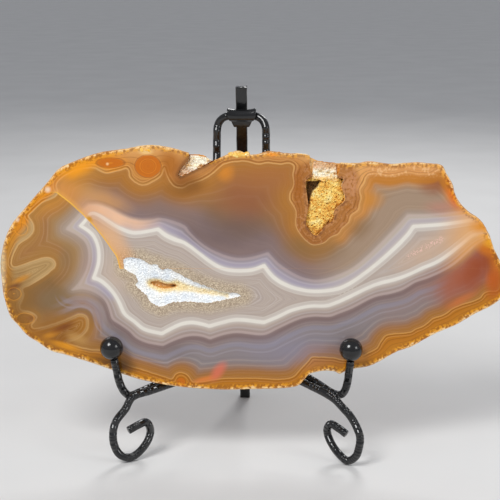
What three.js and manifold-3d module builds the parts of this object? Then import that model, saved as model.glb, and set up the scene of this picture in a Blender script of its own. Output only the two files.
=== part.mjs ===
// A polished slice of banded agate on a small wrought iron easel. Millimetres, +Z up.
// The origin is on the surface that the easel stands on, under the middle of the whole thing.
import * as THREE from 'three';
import { mergeVertices } from 'three/addons/utils/BufferGeometryUtils.js';
import Module from 'manifold-3d';

const wasm = await Module();
wasm.setup();

// Driving dimensions
const GAP = 0.3;                   // left between pieces that touch or are welded
const SLICE_THICKNESS = 8;
const SLICE_SIDES = 150;
const SLICE_LEAN = THREE.MathUtils.degToRad(10);
const SLICE_FOOT = [0, -41.2, 40.8];   // on the front face, level with its lowest point
const RIND_TAPER = 2.8;            // how far the rind runs in towards the back face
const RIND_RINGS = [[3, 0.18], [6, 0.5]];   // how deep, and what share of the taper is run in by there
const RIND_ROUGHNESS = 0.5;
const EDGE_BREAK = 0.5;            // the front edge, broken all round
const VUG_DEPTH = 6.2;
const POCKET_DEPTH = 5.6;
const SADDLE_DEPTH = 2.2;
const NOTCH_DEPTH = 3.6;
const ABOVE = -1;                  // where the cutters start, in front of the face
const JITTER = 0.8;                // how far crystals stray, as a share of their spacing
const BARED = { spacing: 3.2, margin: 0.9, rim: 1.4, size: 1, more: 0.7 };
// The crust's surface lies this deep, and dips more towards its hole and its valley
const CRUST = {
  spacing: 3.7, margin: 0.7, radius: 1.3, more: 0.8, shaft: 4, slope: 1.1, tilt: 0.9,
  depth: 0.9, holeDip: 2.4, holeReach: 2.2, valleyDip: 0.8, valleyReach: 1.6, base: 2.4, highest: 0.15,
};
const FILLING = {
  spacing: 3.9, margin: 0.6, radius: 1.7, more: 1, depth: 2.9, uneven: 0.8, base: 2.1, highest: 0.5,
};
const ROD = 4.76;
const ROD_SIDES = 8;
const BOW_STEPS = 78;
const FOOT_STEPS = 58;
const ARM_STEPS = 24;
const BALL = 12.7;
const BAR = 6.35;
const BAR_SECTIONS = 20;
const BAR_DENT = 0.05;             // share of the bar's width
const BAR_TEAR = 1.4;              // roughness of its sheared top
const FRAME_LEAN = THREE.MathUtils.degToRad(5);
const CROSSBAR = [-7.3, -6.2, 188.8];  // middle of the bow's top
const BOW_HALF_WIDTH = 13.6;
const BOW_SHOULDER = 9;
const WELD_HEIGHT = 56;            // where the bow's legs meet the feet
const LEG_ENDS = { left: -22.5, right: 6.5 };
const REAR_FOOT = [-5.8, 53.3];
const REAR_TOP = 205;
const STRAP = { width: 15.7, thickness: 1.2, clearance: 0.35, tail: 8, taper: 0.72, lip: -0.35 * Math.PI };

// Outlines on the slice's front face: along it, and up it from its lowest point
const OUTLINE = [
  [-139.9, 71], [-139.6, 62], [-138.7, 53], [-135, 40.8], [-130.5, 35.6], [-125.5, 30], [-120.4, 26.8],
  [-112.8, 21.7], [-105, 19.6], [-89.8, 14.8], [-79.6, 11.2], [-65.8, 6.3], [-48.9, 2.6], [-34.8, 0.9],
  [-17.7, 0], [-0.4, 0.3], [18, 1], [24.6, 2.6], [30.2, 8.4], [34.1, 9.8], [39.8, 10.6], [44.3, 10.1],
  [47.2, 8.8], [50, 10.1], [56.7, 12], [62.4, 12.9], [68, 15.2], [79.3, 21.5], [85.4, 23.5], [99.5, 31.1],
  [110.5, 35.9], [121.4, 42.2], [130.2, 46.6], [135.3, 50.2], [138.7, 54.6], [140.1, 60.2], [138.9, 66.8],
  [134.9, 72.6], [131.9, 78.4], [129.1, 86.2], [124.2, 94.3], [117.5, 99.1], [113.1, 103.5], [110, 108.7],
  [108.5, 114.1], [105, 120.1], [102.6, 124.4], [96.3, 125.5], [87.6, 126.1], [74.5, 125.3], [62.8, 126.6],
  [56.2, 125.7], [41, 126.6], [32.3, 128.3], [28.8, 130.5], [17, 131.1], [7.4, 132.2], [1.5, 130.6],
  [-3.5, 130.4], [-7.7, 132.2], [-10.8, 132.2], [-18.6, 128.8], [-22.1, 127.6], [-28.3, 131], [-36, 131.4],
  [-47, 134.4], [-58.7, 135.5], [-70.9, 133.5], [-84.8, 131.4], [-100.1, 126.1], [-107.1, 122.6],
  [-115.1, 113.5], [-125.2, 102.2], [-134.1, 91.2], [-138.3, 81],
];
const VUG = [
  [-72.2, 73.5], [-62.7, 73.5], [-58.2, 70.7], [-53.8, 70.2], [-50.9, 67.4], [-48.1, 68.2], [-40.3, 64.6],
  [-32.4, 60.6], [-25.7, 58], [-17.8, 55.5], [-8.8, 54.1], [-6.5, 52.4], [-16.1, 49.9], [-25.8, 48.1],
  [-37.5, 48.7], [-46.5, 48.1], [-51.6, 45.9], [-57.8, 48.7], [-60, 52.1], [-66.1, 58.3], [-65, 60.7],
  [-66.1, 63.5], [-71.7, 66.8],
];
const VUG_HOLE = [
  [-58.8, 60.2], [-55.5, 61.6], [-49.3, 61.2], [-41, 58.3], [-45.9, 55.9], [-51.5, 55.2], [-54.4, 56],
];
const VUG_VALLEY = [[-42, 58.8], [-15, 53.4], [-15, 52], [-42, 56.2]];
const POCKET = [
  [27.9, 115.7], [29.2, 102.2], [28, 92.2], [29.8, 88.6], [33.8, 85.6], [39, 91.2], [43.3, 94.3],
  [44.2, 100], [49.8, 105.3], [47.8, 113.1], [48.9, 116.8], [41, 117.6], [31.4, 118.3],
];
const POCKET_HOLE = [[28.6, 115.4], [36, 115.8], [35.2, 113], [32.3, 110.5], [30.6, 104], [29.2, 104]];
const SADDLE = [[31.6, 134], [45.4, 134], [44.9, 117.2], [31.8, 117.9]];
const NOTCH = [
  [-36, 136], [-22, 136], [-21.6, 127], [-27.4, 123.9], [-37, 119.2], [-40.9, 117.5], [-42.4, 119.2],
  [-40.4, 123.1], [-36.5, 128.3],
];

// The feet, each in its own upright plane: along the rod from where it touches down, and up
const FEET = {
  left: {
    touchdown: [-69.3, -45.4], heading: THREE.MathUtils.degToRad(210), side: -1,
    run: [[-49.5, 45.4], [-40, 43.3], [-23.9, 40.9], [-12.7, 39.4], [-2, 37.8]],
    scroll: [
      [2.5, 31.6], [8.4, 25.3], [10.3, 17.8], [9.2, 10.3], [6, 5], [0, 2.38], [-6, 5], [-11.4, 11.5],
      [-12.3, 16.9], [-9.8, 21.4], [-4.9, 20.6], [1.1, 18.6],
    ],
    arm: [
      [-42, 43.8], [-24, 41.2], [-8.9, 37.8], [-2.8, 36.9], [0.7, 40], [3.3, 46], [4.8, 53.3], [6.1, 60],
    ],
    ball: [7.3, 66.5],
  },
  right: {
    touchdown: [51.5, -49.9], heading: THREE.MathUtils.degToRad(-35), side: 1,
    run: [[-50.5, 45.4], [-42, 44.2], [-28.1, 41.9], [-9.4, 36.9], [-4.3, 33.4]],
    scroll: [
      [1.6, 28.7], [5.3, 23.7], [7.6, 18.2], [7.1, 12], [5.2, 6.3], [0, 2.38], [-5.7, 5.1], [-11.2, 11.1],
      [-13.4, 17.5], [-11.2, 21.5], [-5.9, 20.1], [-1, 17.9],
    ],
    arm: [
      [-43, 46], [-27, 42.6], [-12.4, 37.6], [-7.9, 38.1], [-5.4, 41.3], [-4, 46.3], [-3.2, 52.4],
      [-2.4, 59],
    ],
    ball: [-2.2, 65.5],
  },
};
const ARM_OFFSET = 5.1;            // the rest arm lies beside the foot, centre to centre

const agateLook = new THREE.MeshStandardMaterial({ color: 0xb88a5a, roughness: 0.2, metalness: 0 });
const quartzLook = new THREE.MeshStandardMaterial({ color: 0xeef2f2, roughness: 0.35, metalness: 0 });
const ochreLook = new THREE.MeshStandardMaterial({ color: 0xe6b45a, roughness: 0.9, metalness: 0 });
const ironLook = () => new THREE.MeshStandardMaterial({ color: 0x1b1b1c, roughness: 0.42, metalness: 0.6 });

// A repeatable spread of numbers from 0 to 1
const spread = (a, b = 0, c = 0) => {
  const value = Math.sin(a * 12.9898 + b * 78.233 + c * 37.719) * 43758.5453;
  return value - Math.floor(value);
};

function named(name, geometry, material) {
  const mesh = new THREE.Mesh(geometry, material);
  mesh.name = name;
  return mesh;
}

// Booleans
function toSolid(geometry) {
  const bare = geometry.clone();
  bare.deleteAttribute('normal');
  bare.deleteAttribute('uv');
  const merged = mergeVertices(bare, 1e-4);
  return new wasm.Manifold(new wasm.Mesh({
    numProp: 3,
    vertProperties: new Float32Array(merged.attributes.position.array),
    triVerts: new Uint32Array(merged.index.array),
  }));
}

function toGeometry(solid) {
  const mesh = solid.getMesh();
  const geometry = new THREE.BufferGeometry();
  geometry.setAttribute('position', new THREE.BufferAttribute(new Float32Array(mesh.vertProperties), 3));
  geometry.setIndex(new THREE.BufferAttribute(new Uint32Array(mesh.triVerts), 1));
  return geometry;
}

// The main body where a cut leaves loose crumbs
const mainBody = (solid) => solid.decompose().sort((a, b) => b.volume() - a.volume())[0];

// A smooth closed line through outline points
function smoothLine(points, count) {
  const spots = points.map(([x, y]) => new THREE.Vector3(x, y, 0));
  const curve = new THREE.CatmullRomCurve3(spots, true, 'centripetal');
  return curve.getSpacedPoints(count).slice(0, count).map((p) => new THREE.Vector2(p.x, p.y));
}

// The same line moved inwards at every side, whichever way round it runs
function inset(line, distance) {
  const turn = THREE.ShapeUtils.area(line) > 0 ? 1 : -1;
  const inward = (from, to) => (
    new THREE.Vector2(from.y - to.y, to.x - from.x).normalize().multiplyScalar(turn)
  );
  return line.map((point, i) => {
    const first = inward(line[(i + line.length - 1) % line.length], point);
    const second = inward(point, line[(i + 1) % line.length]);
    const amount = typeof distance === 'function' ? distance(i) : distance;
    return first.clone().add(second).multiplyScalar(amount / (1 + first.dot(second))).add(point);
  });
}

// A closed body through rings of equal count at growing depth behind the front face
function ringBody(lines, depths) {
  const count = lines[0].length;
  const rings = THREE.ShapeUtils.area(lines[0]) > 0 ? lines : lines.map((line) => [...line].reverse());
  const positions = rings.flatMap((ring, k) => ring.flatMap((p) => [p.x, depths[k], p.y]));
  const index = [];
  for (let k = 0; k + 1 < rings.length; k += 1) {
    for (let i = 0; i < count; i += 1) {
      const [a, b] = [k * count + i, k * count + ((i + 1) % count)];
      index.push(a, a + count, b, b, a + count, b + count);
    }
  }
  THREE.ShapeUtils.triangulateShape(rings[0], []).forEach(([a, b, c]) => index.push(a, b, c));
  const last = (rings.length - 1) * count;
  THREE.ShapeUtils.triangulateShape(rings.at(-1), []).forEach(([a, b, c]) => {
    index.push(last + a, last + c, last + b);
  });
  const geometry = new THREE.BufferGeometry();
  geometry.setAttribute('position', new THREE.Float32BufferAttribute(positions, 3));
  geometry.setIndex(index);
  return geometry;
}

// A straight-walled cutter through the face, from one depth to another
const prism = (points, from, to) => {
  const line = points.map((p) => (Array.isArray(p) ? new THREE.Vector2(...p) : p));
  return toSolid(ringBody([line, line], [from, to]));
};

function inside(points, x, y) {
  let odd = false;
  points.forEach((p, i) => {
    const q = points[(i + points.length - 1) % points.length];
    if ((p[1] > y) !== (q[1] > y) && x < ((q[0] - p[0]) * (y - p[1])) / (q[1] - p[1]) + p[0]) odd = !odd;
  });
  return odd;
}

function distanceTo(points, x, y) {
  const here = new THREE.Vector3(x, y, 0);
  const nearest = new THREE.Vector3();
  return Math.min(...points.map((p, i) => {
    const q = points[(i + 1) % points.length];
    new THREE.Line3(new THREE.Vector3(...p, 0), new THREE.Vector3(...q, 0))
      .closestPointToPoint(here, true, nearest);
    return nearest.distanceTo(here);
  }));
}

// Jittered places inside an outline
function places(points, spacing, margin) {
  const xs = points.map((p) => p[0]);
  const ys = points.map((p) => p[1]);
  const found = [];
  for (let x = Math.min(...xs); x < Math.max(...xs); x += spacing) {
    for (let y = Math.min(...ys); y < Math.max(...ys); y += spacing) {
      const u = x + (spread(x, y) - 0.5) * spacing * JITTER;
      const v = y + (spread(y, x, 3) - 0.5) * spacing * JITTER;
      if (inside(points, u, v) && distanceTo(points, u, v) > margin) found.push([u, v]);
    }
  }
  return found;
}

// The slice: flat polished faces, a rough rind round the rim that runs in towards the back
function agateSlice() {
  const line = smoothLine(OUTLINE, SLICE_SIDES);
  const rough = (share) => (i) => (
    share * RIND_TAPER + (spread(i, share * RIND_TAPER * 10) - 0.5) * RIND_ROUGHNESS * 2
  );
  const amounts = [EDGE_BREAK, 0, ...RIND_RINGS.map(([, share]) => rough(share)), RIND_TAPER];
  const depths = [0, EDGE_BREAK, ...RIND_RINGS.map(([depth]) => depth), SLICE_THICKNESS];
  const body = toSolid(ringBody(amounts.map((amount) => inset(line, amount)), depths));
  let solid = body.subtract(prism(VUG, ABOVE, VUG_DEPTH)).subtract(prism(POCKET, ABOVE, POCKET_DEPTH));
  solid = solid.subtract(prism(SADDLE, ABOVE, SADDLE_DEPTH)).subtract(prism(NOTCH, ABOVE, NOTCH_DEPTH));
  // Crystals of the rind bared in the notch, and the crumbly saddle over the pocket
  const lumps = [NOTCH, SADDLE].flatMap((recess) => places(recess, BARED.spacing, BARED.margin))
    .filter(([u, v]) => inside(OUTLINE, u, v) && distanceTo(OUTLINE, u, v) > BARED.rim)
    .map(([u, v]) => {
      const size = BARED.size + spread(u, v, 7) * BARED.more;
      const floor = u < 0 ? NOTCH_DEPTH : SADDLE_DEPTH;
      const lump = new THREE.IcosahedronGeometry(size, 0);
      lump.rotateX(spread(u) * 3).rotateZ(spread(v) * 3).translate(u, floor, v);
      return toSolid(lump);
    });
  lumps.forEach((lump) => { solid = solid.add(lump); });
  return toGeometry(mainBody(solid));
}

// The crystals that line the hollow, grown together: one crust with a hole in its middle
function quartzCrust() {
  const wall = VUG.map((p) => new THREE.Vector2(...p));
  const room = inset(wall, GAP);
  const bottom = VUG_DEPTH - GAP;
  const surface = (u, v) => {
    const toHole = inside(VUG_HOLE, u, v) ? 0 : distanceTo(VUG_HOLE, u, v);
    const toValley = distanceTo(VUG_VALLEY, u, v);
    const dip = CRUST.holeDip * Math.exp(-toHole / CRUST.holeReach);
    return CRUST.depth + dip + CRUST.valleyDip * Math.exp(-toValley / CRUST.valleyReach);
  };
  let crust = prism(room, CRUST.base, bottom);
  places(VUG, CRUST.spacing, CRUST.margin).forEach(([u, v]) => {
    const radius = CRUST.radius + spread(u, v, 1) * CRUST.more;
    const height = radius * CRUST.slope;
    const point = new THREE.CylinderGeometry(0, radius, height, 6).translate(0, -height / 2, 0);
    const shaft = new THREE.CylinderGeometry(radius, radius, CRUST.shaft, 6);
    shaft.translate(0, -height - CRUST.shaft / 2 + 0.01, 0);
    const turn = new THREE.Matrix4().makeRotationFromEuler(new THREE.Euler(
      Math.PI + (spread(u, v, 4) - 0.5) * CRUST.tilt, spread(u, v, 5) * 3,
      (spread(u, v, 6) - 0.5) * CRUST.tilt,
    ));
    const tip = surface(u, v) - 0.5 * spread(u, v, 8);
    [point, shaft].forEach((piece) => {
      piece.applyMatrix4(turn).translate(u, tip, v);
      crust = crust.add(toSolid(piece));
    });
  });
  const opened = crust.intersect(prism(room, CRUST.highest, bottom))
    .subtract(prism(VUG_HOLE, ABOVE, VUG_DEPTH - ABOVE));
  return toGeometry(mainBody(opened));
}

// The crumbly yellow filling of the pocket, with its dark hole
function pocketFilling() {
  const room = inset(POCKET.map((p) => new THREE.Vector2(...p)), GAP);
  const bottom = POCKET_DEPTH - GAP;
  let filling = prism(room, FILLING.base, bottom);
  places(POCKET, FILLING.spacing, FILLING.margin).forEach(([u, v]) => {
    const lump = new THREE.IcosahedronGeometry(FILLING.radius + spread(u, v, 2) * FILLING.more, 0);
    const depth = FILLING.depth - spread(v, u) * FILLING.uneven;
    lump.rotateX(spread(u) * 3).rotateZ(spread(v) * 3).translate(u, depth, v);
    filling = filling.add(toSolid(lump));
  });
  const opened = filling.intersect(prism(room, FILLING.highest, bottom))
    .subtract(prism(POCKET_HOLE, ABOVE, bottom - 2 * GAP));
  return toGeometry(mainBody(opened));
}

// Round rod along a curve, cut square at both ends
function rod(curve, steps) {
  const section = new THREE.Shape(Array.from({ length: ROD_SIDES }, (_, i) => {
    const angle = ((i + 0.5) / ROD_SIDES) * 2 * Math.PI;
    return new THREE.Vector2(Math.cos(angle), Math.sin(angle)).multiplyScalar(ROD / 2);
  }));
  return new THREE.ExtrudeGeometry(section, { extrudePath: curve, steps, bevelEnabled: false });
}

const frameY = (z) => CROSSBAR[1] + (z - CROSSBAR[2]) * Math.tan(FRAME_LEAN);
const onFrame = (x, z) => new THREE.Vector3(x, frameY(z), z);

// The tall bow behind the slice: two legs and a crossbar with round shoulders
function bow() {
  const [left, right] = [CROSSBAR[0] - BOW_HALF_WIDTH, CROSSBAR[0] + BOW_HALF_WIDTH];
  const top = CROSSBAR[2];
  const low = top - BOW_SHOULDER;
  const path = new THREE.CurvePath();
  path.add(new THREE.LineCurve3(onFrame(LEG_ENDS.left, WELD_HEIGHT + GAP), onFrame(left, low)));
  path.add(new THREE.QuadraticBezierCurve3(
    onFrame(left, low), onFrame(left, top), onFrame(left + BOW_SHOULDER, top),
  ));
  path.add(new THREE.LineCurve3(onFrame(left + BOW_SHOULDER, top), onFrame(right - BOW_SHOULDER, top)));
  path.add(new THREE.QuadraticBezierCurve3(
    onFrame(right - BOW_SHOULDER, top), onFrame(right, top), onFrame(right, low),
  ));
  path.add(new THREE.LineCurve3(onFrame(right, low), onFrame(LEG_ENDS.right, WELD_HEIGHT + GAP)));
  return rod(path, BOW_STEPS);
}

// A point of a foot's plane, moved sideways towards the back for the arm beside it
function onFoot(foot, [along, up], aside = 0) {
  const forward = new THREE.Vector2(Math.cos(foot.heading), Math.sin(foot.heading));
  const sideways = new THREE.Vector2(-forward.y, forward.x).multiplyScalar(foot.side * aside);
  const spot = new THREE.Vector2(...foot.touchdown).addScaledVector(forward, along).add(sideways);
  return new THREE.Vector3(spot.x, spot.y, up);
}

// A foot: down from the bow, forward under the slice, then curled into a scroll that stands on the ground
function footRod(foot, legEnd) {
  const start = [WELD_HEIGHT, WELD_HEIGHT - 4].map((z) => onFrame(legEnd, z));
  const points = [...start, ...[...foot.run, ...foot.scroll].map((p) => onFoot(foot, p))];
  return rod(new THREE.CatmullRomCurve3(points, false, 'centripetal'), FOOT_STEPS);
}

// A rest arm: beside the foot under the slice, then up in front of it to a ball
function armRod(foot) {
  const points = foot.arm.map((p) => onFoot(foot, p, ARM_OFFSET));
  return rod(new THREE.CatmullRomCurve3(points, false, 'centripetal'), ARM_STEPS);
}

function restBall(foot) {
  const centre = onFoot(foot, foot.ball, ARM_OFFSET);
  return new THREE.SphereGeometry(BALL / 2, 16, 10).rotateX(Math.PI / 2).translate(...centre.toArray());
}

// The rear leg: a hammered square bar, cut level at its foot and rough at its top
function rearLeg() {
  const hinge = STRAP.clearance + STRAP.thickness + GAP + (ROD + BAR) / 2;
  const slope = Math.atan2(REAR_FOOT[1] - CROSSBAR[1], CROSSBAR[2]) - Math.asin(hinge / CROSSBAR[2]);
  const bar = new THREE.BoxGeometry(BAR, BAR, REAR_TOP, 2, 2, BAR_SECTIONS).translate(0, 0, REAR_TOP / 2);
  const place = bar.attributes.position;
  for (let i = 0; i < place.count; i += 1) {
    const [x, y, z] = [place.getX(i), place.getY(i), place.getZ(i)];
    const hit = BAR_DENT * spread(Math.round(z), Math.round(x), Math.round(y));
    const dent = z > 1 && z < REAR_TOP - 1 ? 1 - hit : 1;
    const torn = z > REAR_TOP - 1 ? BAR_TEAR * spread(x, y) : 0;
    const fade = (REAR_FOOT[0] - CROSSBAR[0]) * (1 - z / CROSSBAR[2]);
    const depth = REAR_FOOT[1] + (y * dent) / Math.cos(slope) - Math.tan(slope) * z;
    place.setXYZ(i, CROSSBAR[0] + fade + x * dent, depth, z - torn);
  }
  return { geometry: bar, slope };
}

// The strap folded over the crossbar, welded to the front of the rear leg: the easel's hinge
function strap(slope) {
  const inner = ROD / 2 + STRAP.clearance;
  const outer = inner + STRAP.thickness;
  const section = new THREE.Shape();
  section.absarc(0, 0, outer, STRAP.lip, Math.PI, false);
  section.lineTo(-outer, -STRAP.tail);
  section.lineTo(-inner, -STRAP.tail);
  section.lineTo(-inner, 0);
  section.absarc(0, 0, inner, Math.PI, STRAP.lip, true);
  section.closePath();
  const sheet = new THREE.ExtrudeGeometry(section, {
    depth: STRAP.width, bevelEnabled: false, curveSegments: 10,
  });
  sheet.translate(0, 0, -STRAP.width / 2).rotateX(Math.PI / 2).rotateZ(-Math.PI / 2);
  const place = sheet.attributes.position;
  for (let i = 0; i < place.count; i += 1) {
    const low = THREE.MathUtils.clamp(-place.getZ(i) / STRAP.tail, 0, 1);
    place.setX(i, place.getX(i) * THREE.MathUtils.lerp(1, STRAP.taper, low));
  }
  return sheet.rotateX(slope).translate(...CROSSBAR);
}

const easel = new THREE.Group();

const slice = new THREE.Group();
slice.position.set(...SLICE_FOOT);
slice.rotation.x = -SLICE_LEAN;
slice.add(named('agate_slice', agateSlice(), agateLook));
slice.add(named('quartz_crust', quartzCrust(), quartzLook));
slice.add(named('pocket_filling', pocketFilling(), ochreLook));
easel.add(slice);

easel.add(named('bow', bow(), ironLook()));
['left', 'right'].forEach((side) => {
  const foot = FEET[side];
  easel.add(named(`${side}_foot`, footRod(foot, LEG_ENDS[side]), ironLook()));
  easel.add(named(`${side}_rest_arm`, armRod(foot), ironLook()));
  easel.add(named(`${side}_ball`, restBall(foot), ironLook()));
});

const rear = rearLeg();
easel.add(named('rear_leg', rear.geometry, ironLook()));
easel.add(named('hinge_strap', strap(rear.slope), ironLook()));

export default easel;
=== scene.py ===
# A polished slice of banded agate on a small wrought iron easel, in metres, +Z up.
import math

import bmesh
import bpy
import numpy as np
from mathutils import Matrix, Vector, noise


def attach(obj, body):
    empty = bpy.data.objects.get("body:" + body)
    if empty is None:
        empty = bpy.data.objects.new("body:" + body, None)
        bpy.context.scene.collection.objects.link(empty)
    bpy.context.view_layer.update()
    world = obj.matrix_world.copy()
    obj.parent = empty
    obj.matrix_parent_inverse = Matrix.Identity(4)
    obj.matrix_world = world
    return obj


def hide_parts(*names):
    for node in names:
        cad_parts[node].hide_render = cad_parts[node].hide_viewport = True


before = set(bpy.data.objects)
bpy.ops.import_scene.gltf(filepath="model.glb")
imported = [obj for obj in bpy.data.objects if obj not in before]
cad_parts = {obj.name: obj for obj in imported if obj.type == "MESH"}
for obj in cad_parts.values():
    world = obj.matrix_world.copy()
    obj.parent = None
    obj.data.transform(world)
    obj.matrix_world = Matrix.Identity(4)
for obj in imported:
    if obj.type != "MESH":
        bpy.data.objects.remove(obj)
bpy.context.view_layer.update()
scene = bpy.context.scene

# The view: a camera a little above the slice and 0.6 m in front of it, looking down by 14 degrees.
camera = bpy.data.objects.new("camera", bpy.data.cameras.new("camera"))
camera.location = (-0.0026, -0.6183, 0.2647)
camera.rotation_euler = (math.radians(76), 0, 0)
camera.data.lens = 79.7
camera.data.sensor_width = 36
camera.data.clip_end = 100
scene.collection.objects.link(camera)
scene.camera = camera
scene.view_settings.view_transform = "Standard"


def soft_light(name, place, target, size, power, colour=(1, 1, 1)):
    """A square studio panel that faces the target."""
    lamp = bpy.data.lights.new(name, "AREA")
    lamp.size, lamp.energy, lamp.color = size, power, colour
    panel = bpy.data.objects.new(name, lamp)
    panel.location = place
    panel.rotation_euler = (Vector(target) - Vector(place)).to_track_quat("-Z", "Y").to_euler()
    scene.collection.objects.link(panel)


MIDDLE = (0, 0, 0.1)
soft_light("key_panel", (-0.5, -0.7, 1.0), MIDDLE, 0.45, 9.5)
soft_light("fill_panel", (0.9, -0.6, 0.6), MIDDLE, 0.4, 2.6)
soft_light("back_panel", (0.2, 0.9, 0.9), MIDDLE, 0.4, 5)
world = bpy.data.worlds.new("studio")
world.use_nodes = True
world.node_tree.nodes["Background"].inputs["Color"].default_value = (0.9, 0.93, 1, 1)
world.node_tree.nodes["Background"].inputs["Strength"].default_value = 0.4
scene.world = world


def linear(red, green, blue):
    """A colour of 0 to 255 as seen on a screen, as the linear colour that a socket takes."""
    parts = [part / 255 for part in (red, green, blue)]
    return tuple(p / 12.92 if p < 0.04045 else ((p + 0.055) / 1.055) ** 2.4 for p in parts) + (1,)


class Wire:
    """The output of a shader node. An expression on wires adds its Math nodes."""

    def __init__(self, tree, socket=None):
        self.tree, self.socket = tree, socket

    def node(self, kind, sockets=None, output=0, stops=None, **settings):
        """Any node: its settings and a ramp's stops first, then the values or links of its sockets."""
        made = self.tree.nodes.new(kind)
        for name, value in settings.items():
            setattr(made, name, value)
        if stops:
            elements = made.color_ramp.elements
            elements.remove(elements[-1])
            elements[0].position, elements[0].color = stops[0]
            for position, colour in stops[1:]:
                elements.new(position).color = colour
        for key, value in (sockets or {}).items():
            if isinstance(value, Wire):
                self.tree.links.new(value.socket, made.inputs[key])
            else:
                made.inputs[key].default_value = value
        return Wire(self.tree, made.outputs[output])

    def math(self, operation, *values):
        return self.node("ShaderNodeMath", dict(enumerate(values)), operation=operation)

    def __add__(self, other):
        return self.math("ADD", self, other)

    def __sub__(self, other):
        return self.math("SUBTRACT", self, other)

    def __rsub__(self, other):
        return self.math("SUBTRACT", other, self)

    def __mul__(self, other):
        return self.math("MULTIPLY", self, other)

    def __truediv__(self, other):
        return self.math("DIVIDE", self, other)

    __radd__ = __add__
    __rmul__ = __mul__

    def __abs__(self):
        return self.math("ABSOLUTE", self)

    def least(self, other):
        return self.math("MINIMUM", self, other)

    def most(self, other):
        return self.math("MAXIMUM", self, other)

    def step(self, start, end):
        """0 at start, 1 at end, smooth between them and flat beyond."""
        sockets = {"Value": self, "From Min": start, "From Max": end, "To Min": 0.0, "To Max": 1.0}
        if start > end:
            sockets.update({"From Min": end, "From Max": start, "To Min": 1.0, "To Max": 0.0})
        return self.node("ShaderNodeMapRange", sockets, interpolation_type="SMOOTHSTEP")

    def line(self, centre, half, soft):
        """1 on a line of this half width, fading over soft."""
        return abs(self - centre).step(half + soft, half)

    def ramp(self, span, stops):
        """Screen colours at places along this value, which runs from 0 to span."""
        placed = [(place / span, linear(*colour)) for place, colour in stops]
        return self.node("ShaderNodeValToRGB", {0: self / span}, stops=placed)

    def blend(self, colour, share):
        """This colour with another laid over it by a share from 0 to 1."""
        other = colour if isinstance(colour, Wire) else linear(*colour)
        return self.node("ShaderNodeMix", {0: share, 6: self, 7: other}, 2, data_type="RGBA")

    def over(self, *layers):
        """This colour under layers, each a (colour, share)."""
        made = self
        for colour, share in layers:
            made = made.blend(colour, share)
        return made

    def coordinates(self):
        return self.node("ShaderNodeTexCoord", output="Object")

    def read(self, name):
        """A number that mark() has stored on the mesh."""
        return self.node("ShaderNodeAttribute", output="Fac", attribute_name=name)

    def grain(self, place, scale, detail=2.0, rough=0.5):
        """Cloudy noise from 0 to 1 at so many patches to the metre."""
        sockets = {"Vector": place, "Scale": scale, "Detail": detail, "Roughness": rough}
        return self.node("ShaderNodeTexNoise", sockets)

    def cells(self, place, scale, feature="F1"):
        """Distance to the nearest of scattered points, so many to the metre."""
        return self.node("ShaderNodeTexVoronoi", {"Vector": place, "Scale": scale}, feature=feature)

    def bands(self, scale, detail):
        """Noise along this value alone, which makes lines that follow it."""
        sockets = {"W": self, "Scale": scale, "Detail": detail, "Roughness": 0.6}
        return self.node("ShaderNodeTexNoise", sockets, noise_dimensions="1D")

    def bump(self, strength, distance):
        """This height as a surface's small relief."""
        return self.node("ShaderNodeBump", {"Height": self, "Strength": strength, "Distance": distance})

    def to(self, shader, name):
        self.tree.links.new(self.socket, shader.inputs[name])


def finish(name, paint, **constants):
    """A material: its constants go on the shader's own sockets and paint wires what varies."""
    material = bpy.data.materials.new(name)
    material.use_nodes = True
    shader = material.node_tree.nodes["Principled BSDF"]
    for socket, value in constants.items():
        shader.inputs[socket.replace("_", " ")].default_value = value
    paint(Wire(material.node_tree), shader)
    return material


# The surface under the easel: a wide pale studio sheet, faintly mottled like paper.
def paint_sheet(wire, shader):
    mottle = wire.grain(wire.coordinates(), 9.0)
    mottle.ramp(1, [(0.3, (214, 213, 211)), (0.7, (220, 219, 217))]).to(shader, "Base Color")


sheet_mesh = bpy.data.meshes.new("studio_sheet")
shape = bmesh.new()
bmesh.ops.create_grid(shape, x_segments=2, y_segments=2, size=30)
shape.to_mesh(sheet_mesh)
sheet = bpy.data.objects.new("studio_sheet", sheet_mesh)
sheet_mesh.materials.append(finish("studio_paper", paint_sheet, Roughness=0.7))
scene.collection.objects.link(sheet)

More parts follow.
